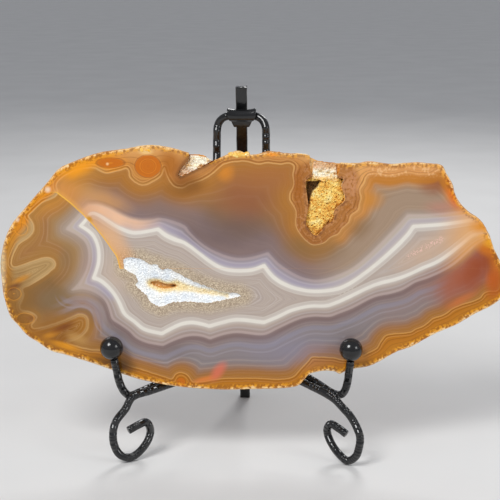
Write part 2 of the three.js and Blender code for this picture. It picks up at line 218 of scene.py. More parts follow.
# The slice: one nodule of agate, sawn and polished on its faces, with the rough rind left round its rim. It
# holds an open hollow, a pocket under the top edge and a notch. Its shapes are drawn in millimetres, along
# and up its front face from its lowest point, with depths behind that face.
MM = 0.001
THICKNESS = 8
LEAN = math.radians(10)
LOWEST = (0, -0.0412, 0.0408)
SLICE_PLACE = Matrix.Translation(LOWEST) @ Matrix.Rotation(-LEAN, 4, "X") @ Matrix.Scale(MM, 4)
OUTLINE = [
    (-139.9, 71), (-139.6, 62), (-138.7, 53), (-135, 40.8), (-130.5, 35.6), (-125.5, 30), (-120.4, 26.8),
    (-112.8, 21.7), (-105, 19.6), (-89.8, 14.8), (-79.6, 11.2), (-65.8, 6.3), (-48.9, 2.6), (-34.8, 0.9),
    (-17.7, 0), (-0.4, 0.3), (18, 1), (24.6, 2.6), (30.2, 8.4), (34.1, 9.8), (39.8, 10.6), (44.3, 10.1),
    (47.2, 8.8), (50, 10.1), (56.7, 12), (62.4, 12.9), (68, 15.2), (79.3, 21.5), (85.4, 23.5), (99.5, 31.1),
    (110.5, 35.9), (121.4, 42.2), (130.2, 46.6), (135.3, 50.2), (138.7, 54.6), (140.1, 60.2), (138.9, 66.8),
    (134.9, 72.6), (131.9, 78.4), (129.1, 86.2), (124.2, 94.3), (117.5, 99.1), (113.1, 103.5), (110, 108.7),
    (108.5, 114.1), (105, 120.1), (102.6, 124.4), (96.3, 125.5), (87.6, 126.1), (74.5, 125.3),
    (62.8, 126.6), (56.2, 125.7), (41, 126.6), (32.3, 128.3), (28.8, 130.5), (17, 131.1), (7.4, 132.2),
    (1.5, 130.6), (-3.5, 130.4), (-7.7, 132.2), (-10.8, 132.2), (-18.6, 128.8), (-22.1, 127.6),
    (-28.3, 131), (-36, 131.4), (-47, 134.4), (-58.7, 135.5), (-70.9, 133.5), (-84.8, 131.4),
    (-100.1, 126.1), (-107.1, 122.6), (-115.1, 113.5), (-125.2, 102.2), (-134.1, 91.2), (-138.3, 81),
]
VUG = [
    (-72.2, 73.5), (-62.7, 73.5), (-58.2, 70.7), (-53.8, 70.2), (-50.9, 67.4), (-48.1, 68.2), (-40.3, 64.6),
    (-32.4, 60.6), (-25.7, 58), (-17.8, 55.5), (-8.8, 54.1), (-6.5, 52.4), (-16.1, 49.9), (-25.8, 48.1),
    (-37.5, 48.7), (-46.5, 48.1), (-51.6, 45.9), (-57.8, 48.7), (-60, 52.1), (-66.1, 58.3), (-65, 60.7),
    (-66.1, 63.5), (-71.7, 66.8),
]
POCKET = [
    (27.9, 115.7), (29.2, 102.2), (28, 92.2), (29.8, 88.6), (33.8, 85.6), (39, 91.2), (43.3, 94.3),
    (44.2, 100), (49.8, 105.3), (47.8, 113.1), (48.9, 116.8), (41, 117.6), (31.4, 118.3),
]
SADDLE = [(31.6, 134), (45.4, 134), (44.9, 117.2), (31.8, 117.9)]
NOTCH = [
    (-36, 136), (-22, 136), (-21.6, 127), (-27.4, 123.9), (-37, 119.2), (-40.9, 117.5), (-42.4, 119.2),
    (-40.4, 123.1), (-36.5, 128.3),
]
# The white band that runs round the heart of the slice. A corner is given twice, which keeps it sharp.
WHITE_BAND = [
    (-95.8, 91.1), (-95.8, 91.1), (-92.1, 95.2), (-90.4, 97.9), (-87.6, 98), (-76.7, 91.1), (-70.7, 88.3),
    (-65.8, 87.2), (-53.1, 89.4), (-53.1, 89.4), (-49.3, 86.1), (-43.8, 83.4), (-38.3, 81.7),
    (-21.9, 69.6), (-14.7, 66.8), (-1.5, 66.8), (5.1, 69.3), (5.1, 69.3), (10.1, 62.9), (17.8, 58.2),
    (28, 55.4), (38.2, 55.2), (48.4, 57.2), (66.2, 69.3), (83.6, 85.6), (87.2, 90.8), (87.2, 90.8),
    (105.4, 92.2), (120.6, 94.3), (139, 95), (139, 87.4), (120.8, 86.2), (114.3, 81.4), (101.4, 71.8),
    (92.6, 67.9), (83.9, 63.8), (77.3, 61.6), (66.3, 58.6), (40.8, 47.2), (30.5, 46.7), (20.4, 44.4),
    (12.7, 40.8), (5.1, 37.7), (5.1, 37.7), (-10.3, 39.3), (-18.1, 37.7), (-25.1, 35.6), (-25.1, 35.6),
    (-33.9, 37.7), (-41, 36.7), (-51.2, 31.5), (-51.2, 31.5), (-61.4, 34.1), (-66.6, 38.2), (-71.6, 42.2),
    (-75.2, 49.6), (-79.2, 55.7), (-85.3, 61.3), (-88.8, 62.4), (-88.8, 62.4), (-86, 71), (-86.2, 79.5),
    (-89.5, 86.7),
]
# The pale line that follows it outside
PALE_LINE = [
    (-103.6, 89.4), (-103.6, 89.4), (-93.9, 100), (-91, 102.4), (-91, 102.4), (-86.5, 102.4),
    (-81, 100.7), (-69.8, 95.1), (-61.4, 93.6), (-55.8, 94.3), (-52, 95.1), (-38.4, 90.8), (-36.2, 87.8),
    (-27.5, 79.8), (-14.7, 74), (-8.1, 72.9), (-0.9, 73.7), (7.3, 76.2), (7.3, 76.2), (12.6, 70.5),
    (22.7, 63.9), (29, 61.6), (35.6, 61), (50.8, 65.9), (58.5, 71), (80.4, 93), (84.1, 97.1),
    (84.1, 97.1), (92.2, 97.1), (109.7, 98.5), (118, 99.6), (142, 101), (142, 81), (130.3, 85),
    (123, 81.8), (110, 70.4), (103.5, 66.4), (94.8, 62.5), (88.2, 60.3), (81.7, 56.3), (75.1, 54.1),
    (66.3, 52.3), (53.5, 45.9), (45.9, 42.9), (41.3, 41.3), (33.1, 41.5), (25.5, 40.3), (11.7, 34.1),
    (6.6, 31.5), (2.5, 31), (-10.3, 32.3), (-18.1, 31), (-24.7, 28.7), (-24.7, 28.7), (-28.2, 30),
    (-33.9, 30.7), (-40, 29.7), (-50.8, 25.1), (-50.8, 25.1), (-59, 26.6), (-65.1, 29.2), (-69.1, 33.1),
    (-73.9, 36.6), (-78.4, 39.8), (-79.9, 44.4), (-81.9, 49.5), (-85.4, 53.1), (-90.5, 55.7),
    (-95.5, 56.7), (-100.7, 55.7), (-100.7, 55.7), (-97, 59.2), (-92.4, 67.4), (-91.2, 76.6),
    (-92.9, 82.3), (-97.3, 86.2),
]
FAULT = [
    (-108.1, 109.1), (-101.3, 103.9), (-94.8, 97.9), (-90.4, 93.5), (-85.5, 87.8), (-81.7, 82.8),
    (-78.5, 78.1), (-75.8, 74), (-74.2, 67.9),
]
# The pale line inside the rim. It wraps every eye, finger, notch and pocket that grew in from the rind.
RIND_LINE = [
    (-48.9, 121.2), (-46.9, 116.3), (-43.7, 112.7), (-39.8, 111.9), (-35.4, 114.1), (-28.3, 116.5),
    (-22.3, 120.6), (-16.8, 125), (-5.3, 126.6), (1.8, 125), (7.2, 125.8), (13.8, 125), (19.3, 125.5),
    (21.5, 123.9), (20.9, 119), (21.5, 114.6), (20.9, 111.9), (19.3, 109.1), (19.3, 105.3), (21.5, 102),
    (22.9, 98.7), (22.6, 94.3), (23.2, 90), (30.4, 81.4), (35.9, 81.2), (39.2, 82.8), (41.9, 85.3),
    (45.7, 86.7), (47.9, 90), (51.7, 93.2), (52.8, 97.1), (56.6, 99.6), (57.2, 102.6), (58.2, 106.4),
    (57.6, 110.8), (59.8, 114.6), (61.4, 118.4), (64.7, 119.8), (74, 118.7), (83.8, 120.3), (89.3, 119.5),
    (95.9, 119.5), (100.2, 121.2), (103.5, 120.6), (106.9, 115.2), (109.7, 109.7), (111.4, 104.8),
    (122.5, 94.9), (125.9, 90), (128.7, 85), (132.2, 73.4), (133.9, 67.9), (135.1, 58.5), (133.5, 55.2),
    (129.7, 55.2), (126.4, 54.1), (124.2, 51.3), (110.5, 46.3), (105, 42.4), (97.9, 39.7), (94.1, 36.3),
    (89.1, 34.1), (85.8, 32.4), (74.8, 31.3), (72, 30.2), (69.3, 26.8), (67.7, 23.5), (63.8, 21.3),
    (58.3, 18.5), (50.5, 16.8), (42.8, 18.2), (36.1, 18.5), (31.7, 18.5), (29.5, 16.2), (24.5, 10.6),
    (21.8, 7.8), (16.8, 6.2), (-2.6, 6.7), (-18.1, 6.4), (-34.2, 4.5), (-35.9, 6.7), (-37.5, 8.7),
    (-40.8, 10.1), (-43.9, 9), (-45.8, 6.2), (-49.7, 7.3), (-63.5, 11.8), (-69.1, 13.4), (-74.6, 16.2),
    (-80.1, 20.1), (-85.6, 22.4), (-92.2, 22.9), (-104.4, 26.8), (-99.4, 28), (-95.5, 30.2),
    (-92.7, 33.5), (-91.8, 38), (-93.1, 41.3), (-97, 42.4), (-100.9, 40.8), (-113.1, 36.3),
    (-122.5, 34.4), (-123.6, 35.8), (-120.2, 40.2), (-121.8, 42.4), (-125.7, 44.1), (-129, 44.7),
    (-129.8, 46.9), (-128.4, 49.6), (-127.2, 53), (-128, 55.7), (-127.7, 56.9), (-123.8, 58.5),
    (-111, 67.4), (-109.6, 70.1), (-111, 72.6), (-114.3, 73.7), (-123.6, 71.2), (-132.5, 68.5),
    (-134.1, 70.1), (-130.1, 80.6), (-124.6, 84.5), (-121.8, 87.8), (-121.4, 91.1), (-122.8, 94.3),
    (-124.4, 96.5), (-122.2, 98.7), (-116.1, 104.2), (-108.9, 107.5), (-107.8, 109.7), (-108.8, 113),
    (-107.7, 115.7), (-97.8, 121.7), (-87.4, 122.8), (-84.7, 121.2), (-80.8, 120.1), (-73.7, 121.7),
    (-69.9, 122.5), (-68.8, 120.6), (-68.3, 117.9), (-61.7, 113.5), (-54.1, 116.3), (-50.8, 119.3),
    (-49.4, 122.8),
]
# The ringed eyes at the rim: along, up and the core's two radii
EYES = [
    (-58.4, 123.8, 7.4, 6.4), (-79, 125.6, 8.5, 3), (-128.3, 89.4, 3.4, 3.2), (-132.7, 53.5, 3.6, 3.2),
    (-126.8, 39.9, 4.6, 2.8), (-40.9, 4.2, 3, 3),
]
# A late seam of tiny crystals in the right end's heart
SEAM = [(84.8, 74.5), (93.6, 79.5), (102.3, 83.4)]
# The rim from front to back: depth, how far it is drawn in, and how rough it is
RIM = [(-1, 0.55, 0.3), (0, 0.35, 0.3), (0.5, 0, 0.3), (1.6, 0.2, 0.7), (3, 0.5, 0.9), (4.6, 0.8, 1.0),
       (6, 1.3, 1.1), (7.2, 1.9, 1.0), (8, 2.5, 0.6), (9, 2.9, 0.5)]
# The sawn slab round the nodule: its cells, half its size, and the height of its middle
SLAB_CELLS = (258, 126)
SLAB_HALF = (142, 69.5)
SLAB_MIDDLE = 67


def smooth_line(points, closed=True, steps=12):
    """A centripetal curve through points, as a row of close ones."""
    row = np.array(points, float)
    if closed:
        before, after, beyond = np.roll(row, 1, 0), np.roll(row, -1, 0), np.roll(row, -2, 0)
    else:
        ends = np.vstack([2 * row[0] - row[1], row, 2 * row[-1] - row[-2]])
        before, row, after, beyond = ends[:-3], ends[1:-2], ends[2:-1], ends[3:]
    gap = [np.maximum(np.linalg.norm(b - a, axis=1, keepdims=True), 1e-9) ** 0.5 for a, b in
           ((before, row), (row, after), (after, beyond))]
    first, second, third = gap
    leave = (row - before) / first - (after - before) / (first + second) + (after - row) / second
    arrive = (after - row) / second - (beyond - row) / (second + third) + (beyond - after) / third
    leave, arrive = leave * second, arrive * second
    t = (np.arange(steps) / steps)[None, :, None]
    made = ((2 * t**3 - 3 * t**2 + 1) * row[:, None] + (t**3 - 2 * t**2 + t) * leave[:, None]
            + (3 * t**2 - 2 * t**3) * after[:, None] + (t**3 - t**2) * arrive[:, None])
    made = made.reshape(-1, row.shape[1])
    return made if closed else np.vstack([made, points[-1]])


def even_line(line, count, closed=True):
    """The same line with so many points at even spacing."""
    ring = np.vstack([line, line[:1]]) if closed else line
    run = np.concatenate([[0], np.cumsum(np.linalg.norm(np.diff(ring, axis=0), axis=1))])
    at = np.linspace(0, run[-1], count + 1 if closed else count)
    at = at[:-1] if closed else at
    return np.column_stack([np.interp(at, run, ring[:, axis]) for axis in range(ring.shape[1])])


def distance(places, line, closed=True):
    """From each place to the nearest point of a line."""
    ends = np.roll(line, -1, 0) if closed else line[1:]
    best = np.full(len(places), 1e9)
    for start, end in zip(line, ends):
        side = end - start
        along = np.clip((places - start) @ side / max(side @ side, 1e-12), 0, 1)
        best = np.minimum(best, np.linalg.norm(places - start - along[:, None] * side, axis=1))
    return best


def within(places, line):
    """True for the places that a closed line goes round."""
    odd = np.zeros(len(places), bool)
    for (x1, y1), (x2, y2) in zip(line, np.roll(line, -1, 0)):
        if y1 != y2:
            crossed = (places[:, 0] - x1) < (x2 - x1) * (places[:, 1] - y1) / (y2 - y1)
            odd ^= ((y1 > places[:, 1]) != (y2 > places[:, 1])) & crossed
    return odd


def signed(places, line):
    """Distance from a closed line, less than 0 inside it."""
    return np.where(within(places, line), -1, 1) * distance(places, line)


def ragged(line, amount, seed, wave=3.0):
    """A closed line moved inwards by noise, and never outwards."""
    along = np.roll(line, -1, 0) - np.roll(line, 1, 0)
    inward = np.column_stack([-along[:, 1], along[:, 0]]) / np.linalg.norm(along, axis=1, keepdims=True)
    area = np.sum(line[:, 0] * np.roll(line[:, 1], -1) - np.roll(line[:, 0], -1) * line[:, 1])
    moves = [amount(x, y) if callable(amount) else amount for x, y in line]
    rough = [0.5 + 0.5 * noise.noise((x / wave, y / wave, seed))
             + 0.2 * noise.noise((x * 1.3, y * 1.3, seed)) for x, y in line]
    return line + inward * (np.sign(area) * np.array(moves) * np.clip(rough, 0, 1.2))[:, None]


def ring_solid(rings):
    """A closed bmesh through rings of equal count, each a (depth, line)."""
    body = bmesh.new()
    depth, line = rings[0]
    verts = [body.verts.new((x, depth, y)) for x, y in line]
    edges = [body.edges.new((a, b)) for a, b in zip(verts, verts[1:] + verts[:1])]
    first = edges
    for depth, line in rings[1:]:
        grown = bmesh.ops.extrude_edge_only(body, edges=edges)["geom"]
        verts = [g for g in grown if isinstance(g, bmesh.types.BMVert)]
        new = set(verts)
        edges = [g for g in grown if isinstance(g, bmesh.types.BMEdge) and new.issuperset(g.verts)]
        for vert, (x, y) in zip(verts, line):
            vert.co = (x, depth, y)
    bmesh.ops.triangle_fill(body, edges=first, use_beauty=True)
    bmesh.ops.triangle_fill(body, edges=edges, use_beauty=True)
    bmesh.ops.recalc_face_normals(body, faces=body.faces)
    return body


def thing(name, body):
    """An object from a bmesh."""
    mesh = bpy.data.meshes.new(name)
    body.to_mesh(mesh)
    body.free()
    made = bpy.data.objects.new(name, mesh)
    scene.collection.objects.link(made)
    return made


def settle(obj):
    """Applies an object's modifiers to its mesh."""
    seen = obj.evaluated_get(bpy.context.evaluated_depsgraph_get())
    mesh = bpy.data.meshes.new_from_object(seen)
    mesh.materials.clear()
    obj.modifiers.clear()
    old, obj.data = obj.data, mesh
    bpy.data.meshes.remove(old)
    mesh.name = obj.name


def combine(obj, others, operation):
    """Joins, cuts or crosses an object with others, which are used up."""
    for other in others:
        cut = obj.modifiers.new("cut", "BOOLEAN")
        cut.operation, cut.solver, cut.object = operation, "MANIFOLD", other
    settle(obj)
    for other in others:
        bpy.data.objects.remove(other)


rim_line = even_line(smooth_line(OUTLINE), 900)
rings = []
for depth, drawn_in, rough in RIM:
    eased = ragged(rim_line, 2 * drawn_in, 0.5, 1e6) if drawn_in else rim_line
    rings.append((depth, ragged(eased, rough, depth * 0.35, 2.4)))
nodule = thing("nodule", ring_solid(rings))
slab = bmesh.new()
bmesh.ops.create_grid(slab, x_segments=SLAB_CELLS[0], y_segments=SLAB_CELLS[1], size=1)
bmesh.ops.scale(slab, vec=(*SLAB_HALF, 1), verts=slab.verts)
bmesh.ops.rotate(slab, matrix=Matrix.Rotation(math.pi / 2, 3, "X"), verts=slab.verts)
bmesh.ops.translate(slab, vec=(0, 0, SLAB_MIDDLE), verts=slab.verts)
grown = bmesh.ops.extrude_face_region(slab, geom=slab.faces[:], use_keep_orig=True)["geom"]
back = [g for g in grown if isinstance(g, bmesh.types.BMVert)]
bmesh.ops.translate(slab, vec=(0, THICKNESS, 0), verts=back)
bmesh.ops.recalc_face_normals(slab, faces=slab.faces)
slice_piece = thing("agate_slice_polished", slab)
combine(slice_piece, [nodule], "INTERSECT")


def wall_line(points, count, rough):
    """The ragged line of a recess's wall."""
    return ragged(even_line(smooth_line(points, steps=6), count), rough, 4.2, 1.1)


def recess(name, line, depth):
    """A cutter through the front face, its floor at one depth."""
    return thing(name, ring_solid([(-1, line), (depth * 0.5, line), (depth, ragged(line, 0.8, 7.7, 1.6))]))


VUG_WALL = wall_line(VUG, 360, 1.1)
combine(slice_piece, [
    recess("vug_cutter", VUG_WALL, 6.2),
    recess("pocket_cutter", wall_line(POCKET, 120, 0.35), 5.6),
    recess("saddle_cutter", wall_line(SADDLE, 60, 0.5), 2.2),
    recess("notch_cutter", wall_line(NOTCH, 90, 0.6), 3.6),
], "DIFFERENCE")


def mark(obj, fields):
    """Stores numbers on an object's points for its material."""
    for name, values in fields.items():
        layer = obj.data.attributes.new(name, "FLOAT", "POINT")
        layer.data.foreach_set("value", np.asarray(values, np.float32))


def depths_and_spots(obj):
    """The depth of each point of a mesh, and its place along and up."""
    points = np.empty(len(obj.data.vertices) * 3)
    obj.data.vertices.foreach_get("co", points)
    points = points.reshape(-1, 3)
    return points[:, 1], points[:, [0, 2]]


_, flat = depths_and_spots(slice_piece)
edge = distance(flat, even_line(smooth_line(OUTLINE), 300))
vug_away, pocket_away, notch_away = (signed(flat, np.array(line)) for line in (VUG, POCKET, NOTCH))
eye_away = np.minimum.reduce([(np.hypot((flat[:, 0] - x) / a, (flat[:, 1] - y) / b) - 1) * min(a, b)
                              for x, y, a, b in EYES])
near = np.minimum(edge, np.maximum(np.minimum(pocket_away, notch_away), 0))
white_away = signed(flat, smooth_line(WHITE_BAND, steps=4))
pale_away = signed(flat, smooth_line(PALE_LINE, steps=4))
PALE_AT = 6.3  # what the pale line counts as, in millimetres from the white band
loop = np.where(pale_away > 0, PALE_AT + pale_away,
                PALE_AT * white_away / np.maximum(white_away - np.minimum(pale_away, -1e-6), 1e-6))
loop = np.where(white_away < 0, white_away, loop)
side = np.interp(flat[:, 0], [p[0] for p in FAULT], [p[1] for p in FAULT])
mark(slice_piece, {
    "along": flat[:, 0], "up": flat[:, 1], "edge": edge, "near": near,
    "shell": signed(flat, smooth_line(RIND_LINE, steps=4)), "loop": loop, "vug": vug_away,
    "pocket": pocket_away, "notch": notch_away, "eye": eye_away,
    "fault": distance(flat, smooth_line(FAULT, False, 4), False) * np.where(flat[:, 1] > side, 1, -1),
    "seam": distance(flat, np.array(SEAM), False),
})

# The stone's colours, and which one it has at so many millimetres from the white band and from the rim
PEARL, DOVE, LILAC = (200, 188, 176), (184, 168, 156), (176, 168, 176)
MAUVE, SLATE, TAUPE = (150, 136, 140), (138, 128, 128), (136, 114, 110)
SAND, OLIVE, UMBER = (164, 138, 114), (162, 126, 80), (132, 102, 74)
SIENNA, OCHRE, AMBER = (160, 108, 58), (172, 124, 60), (172, 112, 40)
BURNT, GOLD, HONEY = (178, 106, 12), (192, 128, 32), (200, 134, 64)
APRICOT, PEACH = (220, 152, 80), (228, 170, 102)
FROM_BAND = {
    "top": [(2, LILAC), (6, MAUVE), (9, TAUPE), (15, TAUPE), (24, UMBER), (40, SIENNA)],
    "shoulder": [(3, PEARL), (10, SAND), (19, SAND), (26, OCHRE), (33, HONEY)],
    "bottom": [(2, DOVE), (8, TAUPE), (13, SLATE), (20, SLATE), (30, AMBER), (36, GOLD)],
    "left": [(2, PEARL), (10, SAND), (14, OLIVE), (26, OCHRE), (34, SIENNA)],
}
FROM_RIM = {
    "top": [(0, PEACH), (3, HONEY), (8, AMBER), (18, SIENNA), (36, UMBER)],
    "shoulder": [(0, PEACH), (6, APRICOT), (9, HONEY), (14, SAND)],
    "bottom": [(0, HONEY), (1.5, GOLD), (3, BURNT), (6, AMBER), (9, SIENNA), (14, SLATE), (27, TAUPE)],
    "left": [(0, HONEY), (1.5, GOLD), (6, OCHRE), (12, SIENNA), (21, OLIVE), (36, SAND)],
}

# Stains of the stone, and the left ball's painted shadow at (-82, 15): along, up, half their length and
# width, the tilt in degrees, a colour and its share
STAINS_AND_BALL_SHADOW = [
    (-5, 104, 24, 20, 0, (146, 82, 50), 0.55), (8, 118, 34, 12, 0, (168, 104, 56), 0.5),
    (-14, 88, 40, 16, 0, (108, 88, 84), 0.65), (-48, 100, 24, 10, -20, (134, 106, 88), 0.4),
    (-40, 112, 16, 9, 20, (140, 88, 30), 0.75), (-44, 22, 14, 8, 0, (122, 108, 106), 0.6),
    # (-82, 15) is painted shadow under the left ball
    (-82, 15, 16, 8, -12, (126, 80, 18), 0.8), (57, 90, 13, 9, 40, (138, 104, 66), 0.7),
    (-120, 54, 30, 26, 0, (124, 92, 50), 0.75), (34, 79, 26, 12, 0, (128, 100, 62), 0.6),
    (22, 22, 46, 14, 0, (140, 134, 150), 0.6), (112, 60, 26, 13, 40, (156, 92, 72), 0.6),
    (102, 61, 28, 13, 30, (156, 106, 88), 0.6), (118, 66, 32, 16, 45, (170, 86, 48), 0.85),
    (126, 89, 10, 7, -60, (240, 160, 16), 1), (131, 74, 16, 5, -72, (226, 130, 6), 1),
    (131, 62, 9, 6, 90, (204, 96, 14), 0.9), (99, 114, 13, 9, 0, (146, 74, 30), 0.85),
    (109, 110, 15, 5, -70, (226, 104, 8), 0.9), (106, 101, 18, 7, 0, (190, 132, 112), 0.7),
    (64, 105, 8, 10, -75, (206, 134, 40), 0.7), (-104, 112, 34, 13, 38, (206, 136, 40), 0.7),
    (-84, 106, 22, 8, -22, (208, 150, 88), 0.75), (-96, 44, 14, 9, 0, (146, 128, 124), 0.5),
    (82, 44, 28, 11, 25, (150, 122, 112), 0.4), (-110, 50, 15, 10, 0, (128, 104, 74), 0.7),
    (-104, 73, 7, 12, 0, (136, 110, 74), 0.6), (-116, 79, 14, 7, 0, (162, 116, 56), 0.6),
    (-16, 121, 7, 8, 0, (222, 138, 36), 0.7), (51, 101, 2.8, 2.2, 0, (240, 146, 30), 0.9),
    (-92, 66, 7, 16, 0, (176, 144, 130), 0.5),
]
# Stains of the rind, in the same columns; (-82, 14) and (-75, 14) are painted shadow under the left ball
RIM_STAINS_AND_BALL_SHADOW = [
    (-112, 30, 28, 14, 20, (134, 80, 10), 0.75), (-130, 52, 12, 24, 0, (136, 94, 38), 0.7),
    (-46, 125, 10, 13, 0, (170, 98, 14), 0.8), (-36, 114, 14, 8, 0, (134, 82, 22), 0.7),
    (-82, 14, 16, 7, -14, (108, 66, 8), 0.8), (-97, 122, 18, 6, 22, (244, 156, 14), 0.95),
    (125, 69, 24, 11, 50, (150, 64, 16), 0.85), (133, 60, 14, 8, 80, (184, 86, 4), 0.95),
    (127, 79, 9, 6, -30, (204, 112, 14), 0.9), (110, 109, 15, 7.5, -66, (226, 110, 8), 0.95),
    (-129, 61.5, 9, 2.6, 27, (204, 134, 30), 0.85), (-133, 57.4, 7, 2.6, 24, (112, 62, 24), 0.9),
    (-113, 30.8, 9, 2.6, 22, (226, 150, 30), 0.7), (-107, 34.4, 11, 3, 25, (122, 62, 8), 0.8),
    (-107, 25.2, 15, 2.6, -14, (232, 152, 16), 0.75), (-27, 6, 11, 2.4, 12, (228, 128, 56), 0.7),
    (-20, 10.5, 9, 4.6, 52, (220, 112, 86), 0.8), (114, 50, 13, 3.4, 30, (208, 112, 56), 0.65),
    (-98, 29, 9, 4, -20, (196, 150, 84), 0.6), (-75, 14, 14, 6, -16, (76, 48, 16), 0.8),
    (-118, 27, 20, 7, -32, (150, 96, 30), 0.7), (-130, 37, 10, 8, -50, (128, 84, 22), 0.7),
    (-123, 40, 5, 3, 0, (124, 74, 30), 0.6),
]
RIM_GLINTS = [
    (-139.5, 69, 4, 22, 0, (214, 196, 156), 0.85), (-113.4, 111, 2.4, 2.4, 0, (244, 216, 184), 0.85),
    (-130.4, 94.6, 1.8, 2, 0, (244, 216, 184), 0.85), (-59.6, 131.6, 5.6, 2.8, 0, (252, 214, 140), 0.85),
    (-80.6, 125, 1.2, 1.2, 0, (255, 214, 150), 0.85), (-8.6, 130.2, 6, 2, 0, (255, 208, 90), 0.85),
    (9.4, 130.2, 5.6, 1.8, 0, (250, 156, 40), 0.85), (57, 18, 9, 3, 0, (226, 150, 60), 0.85),
    (124, 91, 9, 5.5, 0, (226, 142, 22), 0.85), (129.6, 82, 6, 4, 0, (236, 162, 30), 0.85),
]


class Stone:
    """Where each point of the polished face lies, as wires: distances in millimetres and shares."""

    def __init__(self, wire):
        place = wire.coordinates()
        self.wobble = wire.grain(place, 45, 3) - 0.5
        self.striped = wire.grain(place, 620, 3)
        self.clumps = wire.grain(place, 140, 4, 0.6) - 0.5
        self.sparks = wire.grain(place, 1500, 1)
        ripple = wire.grain(place, 260, 3) - 0.5
        drift = self.wobble + ripple * 0.5
        self.along, self.up = wire.read("along"), wire.read("up")
        self.edge, self.shell = wire.read("edge") + ripple * 0.7, wire.read("shell") + ripple * 0.7
        self.loop, self.eye = wire.read("loop") + drift * 0.35, wire.read("eye") + drift * 1.2
        self.vug, self.notch = wire.read("vug") + ripple, wire.read("notch") + ripple
        self.pocket, self.fault = wire.read("pocket") + ripple * 1.2, wire.read("fault") + ripple * 0.3
        self.seam = wire.read("seam") + ripple * 3

        # From the white band out to the pale line, and on from there to the rind
        near = (wire.read("near") + ripple * 0.7).most(0)
        self.outward, self.inward = self.loop.most(0), (0 - self.shell).most(0)
        self.across = self.outward / (self.outward + self.inward + 0.01)
        self.ply = near / (near + self.shell.most(0) + 0.01)
        self.plies = self.ply.bands(8, 2)
        self.shelf = self.shell.step(-0.2, 0.3)

        # Which part of the slice this is
        self.bottom = (self.up - (self.along - 40).most(0) * 0.4875).step(54, 48)
        self.top = 1 - self.bottom
        self.left = self.along.step(-76, -98)
        self.shoulder = self.along.step(24, 54)

    def spot(self, x, y, long, wide, tilt=0):
        """A soft patch, its long side turned by so many degrees."""
        turn = math.radians(tilt)
        side = (self.along - x) * (math.cos(turn) / long) + (self.up - y) * (math.sin(turn) / long)
        rise = (self.up - y) * (math.cos(turn) / wide) - (self.along - x) * (math.sin(turn) / wide)
        close = (1 - side * side - rise * rise + self.wobble * 0.7).most(0).least(1)
        return close * close

    def stain_and_light(self, colour, marks):
        """A colour under spots of staining, painted shadow and painted glints."""
        return colour.over(*[(tint, self.spot(x, y, long, wide, tilt) * share)
                             for x, y, long, wide, tilt, tint, share in marks])

    def by_place(self, table, value, span):
        """The colours of a table at this value, each row's in its own part of the slice."""
        ramps = {name: value.ramp(span, stops) for name, stops in table.items()}
        shares = {"shoulder": self.shoulder, "bottom": self.bottom, "left": self.left}
        return ramps["top"].over(*[(ramps[name], share) for name, share in shares.items()])


def outside_band(stone):
    """From the white band to the pale line: grey, lilac and brown in fine lines that follow both."""
    from_rim = stone.by_place(FROM_RIM, stone.ply * 5 + stone.inward, 42)
    colour = stone.by_place(FROM_BAND, stone.outward, 42).blend(from_rim, stone.across.step(0.35, 0.9))
    coarse = (stone.across + stone.wobble * 0.01).bands(20, 2)
    fine = stone.across.bands(75, 2)
    heart = stone.top * (1 - stone.left) * (1 - stone.shoulder)
    seen = 1 - heart * 0.75 - stone.shoulder * stone.top * 0.5 - stone.left * 0.45 - stone.bottom * 0.35
    colour = colour.over(
        ((240, 214, 186), coarse.step(0.5, 0.8) * seen * 0.15),
        ((84, 58, 42), coarse.step(0.48, 0.2) * seen * 0.2),
        ((244, 220, 196), fine.step(0.55, 0.85) * seen * 0.13),
        ((70, 52, 44), fine.step(0.42, 0.2) * seen * 0.1),
    )
    # The stains, with the left ball's painted shadow
    colour = stone.stain_and_light(colour, STAINS_AND_BALL_SHADOW)
    low = stone.bottom * stone.along.step(110, 90)
    arcs = stone.spot(-92, 46, 22, 20)
    return colour.over(
        ((162, 152, 174), stone.loop.line(2.7, 0.6, 1.4) * stone.top * 0.4),
        ((200, 178, 172), stone.loop.line(6.1, 0.3, 0.8) * (0.32 + stone.bottom * 0.16)),
        ((112, 90, 90), stone.loop.line(8, 0.5, 1.4) * (0.16 + stone.bottom * 0.14)),
        ((204, 192, 194), stone.loop.line(3.9, 0.15, 0.5) * 0.25),
        ((150, 146, 164), stone.loop.line(13, 0.6, 1.4) * low * 0.35),
        ((178, 170, 182), stone.loop.line(16.2, 0.15, 0.6) * low * 0.2),
        ((158, 146, 150), (stone.inward.line(4.6, 0.7, 1.2) + stone.inward.line(9, 0.6, 1.2)) * arcs * 0.5),
        ((128, 96, 56), stone.inward.line(2.2, 0.6, 1.2) * arcs * 0.6),
        ((236, 190, 154), stone.spot(-76, 96, 32, 16, -20) * stone.loop.step(9, 5.4)
         * stone.fault.step(-0.4, 0.4)),
    )


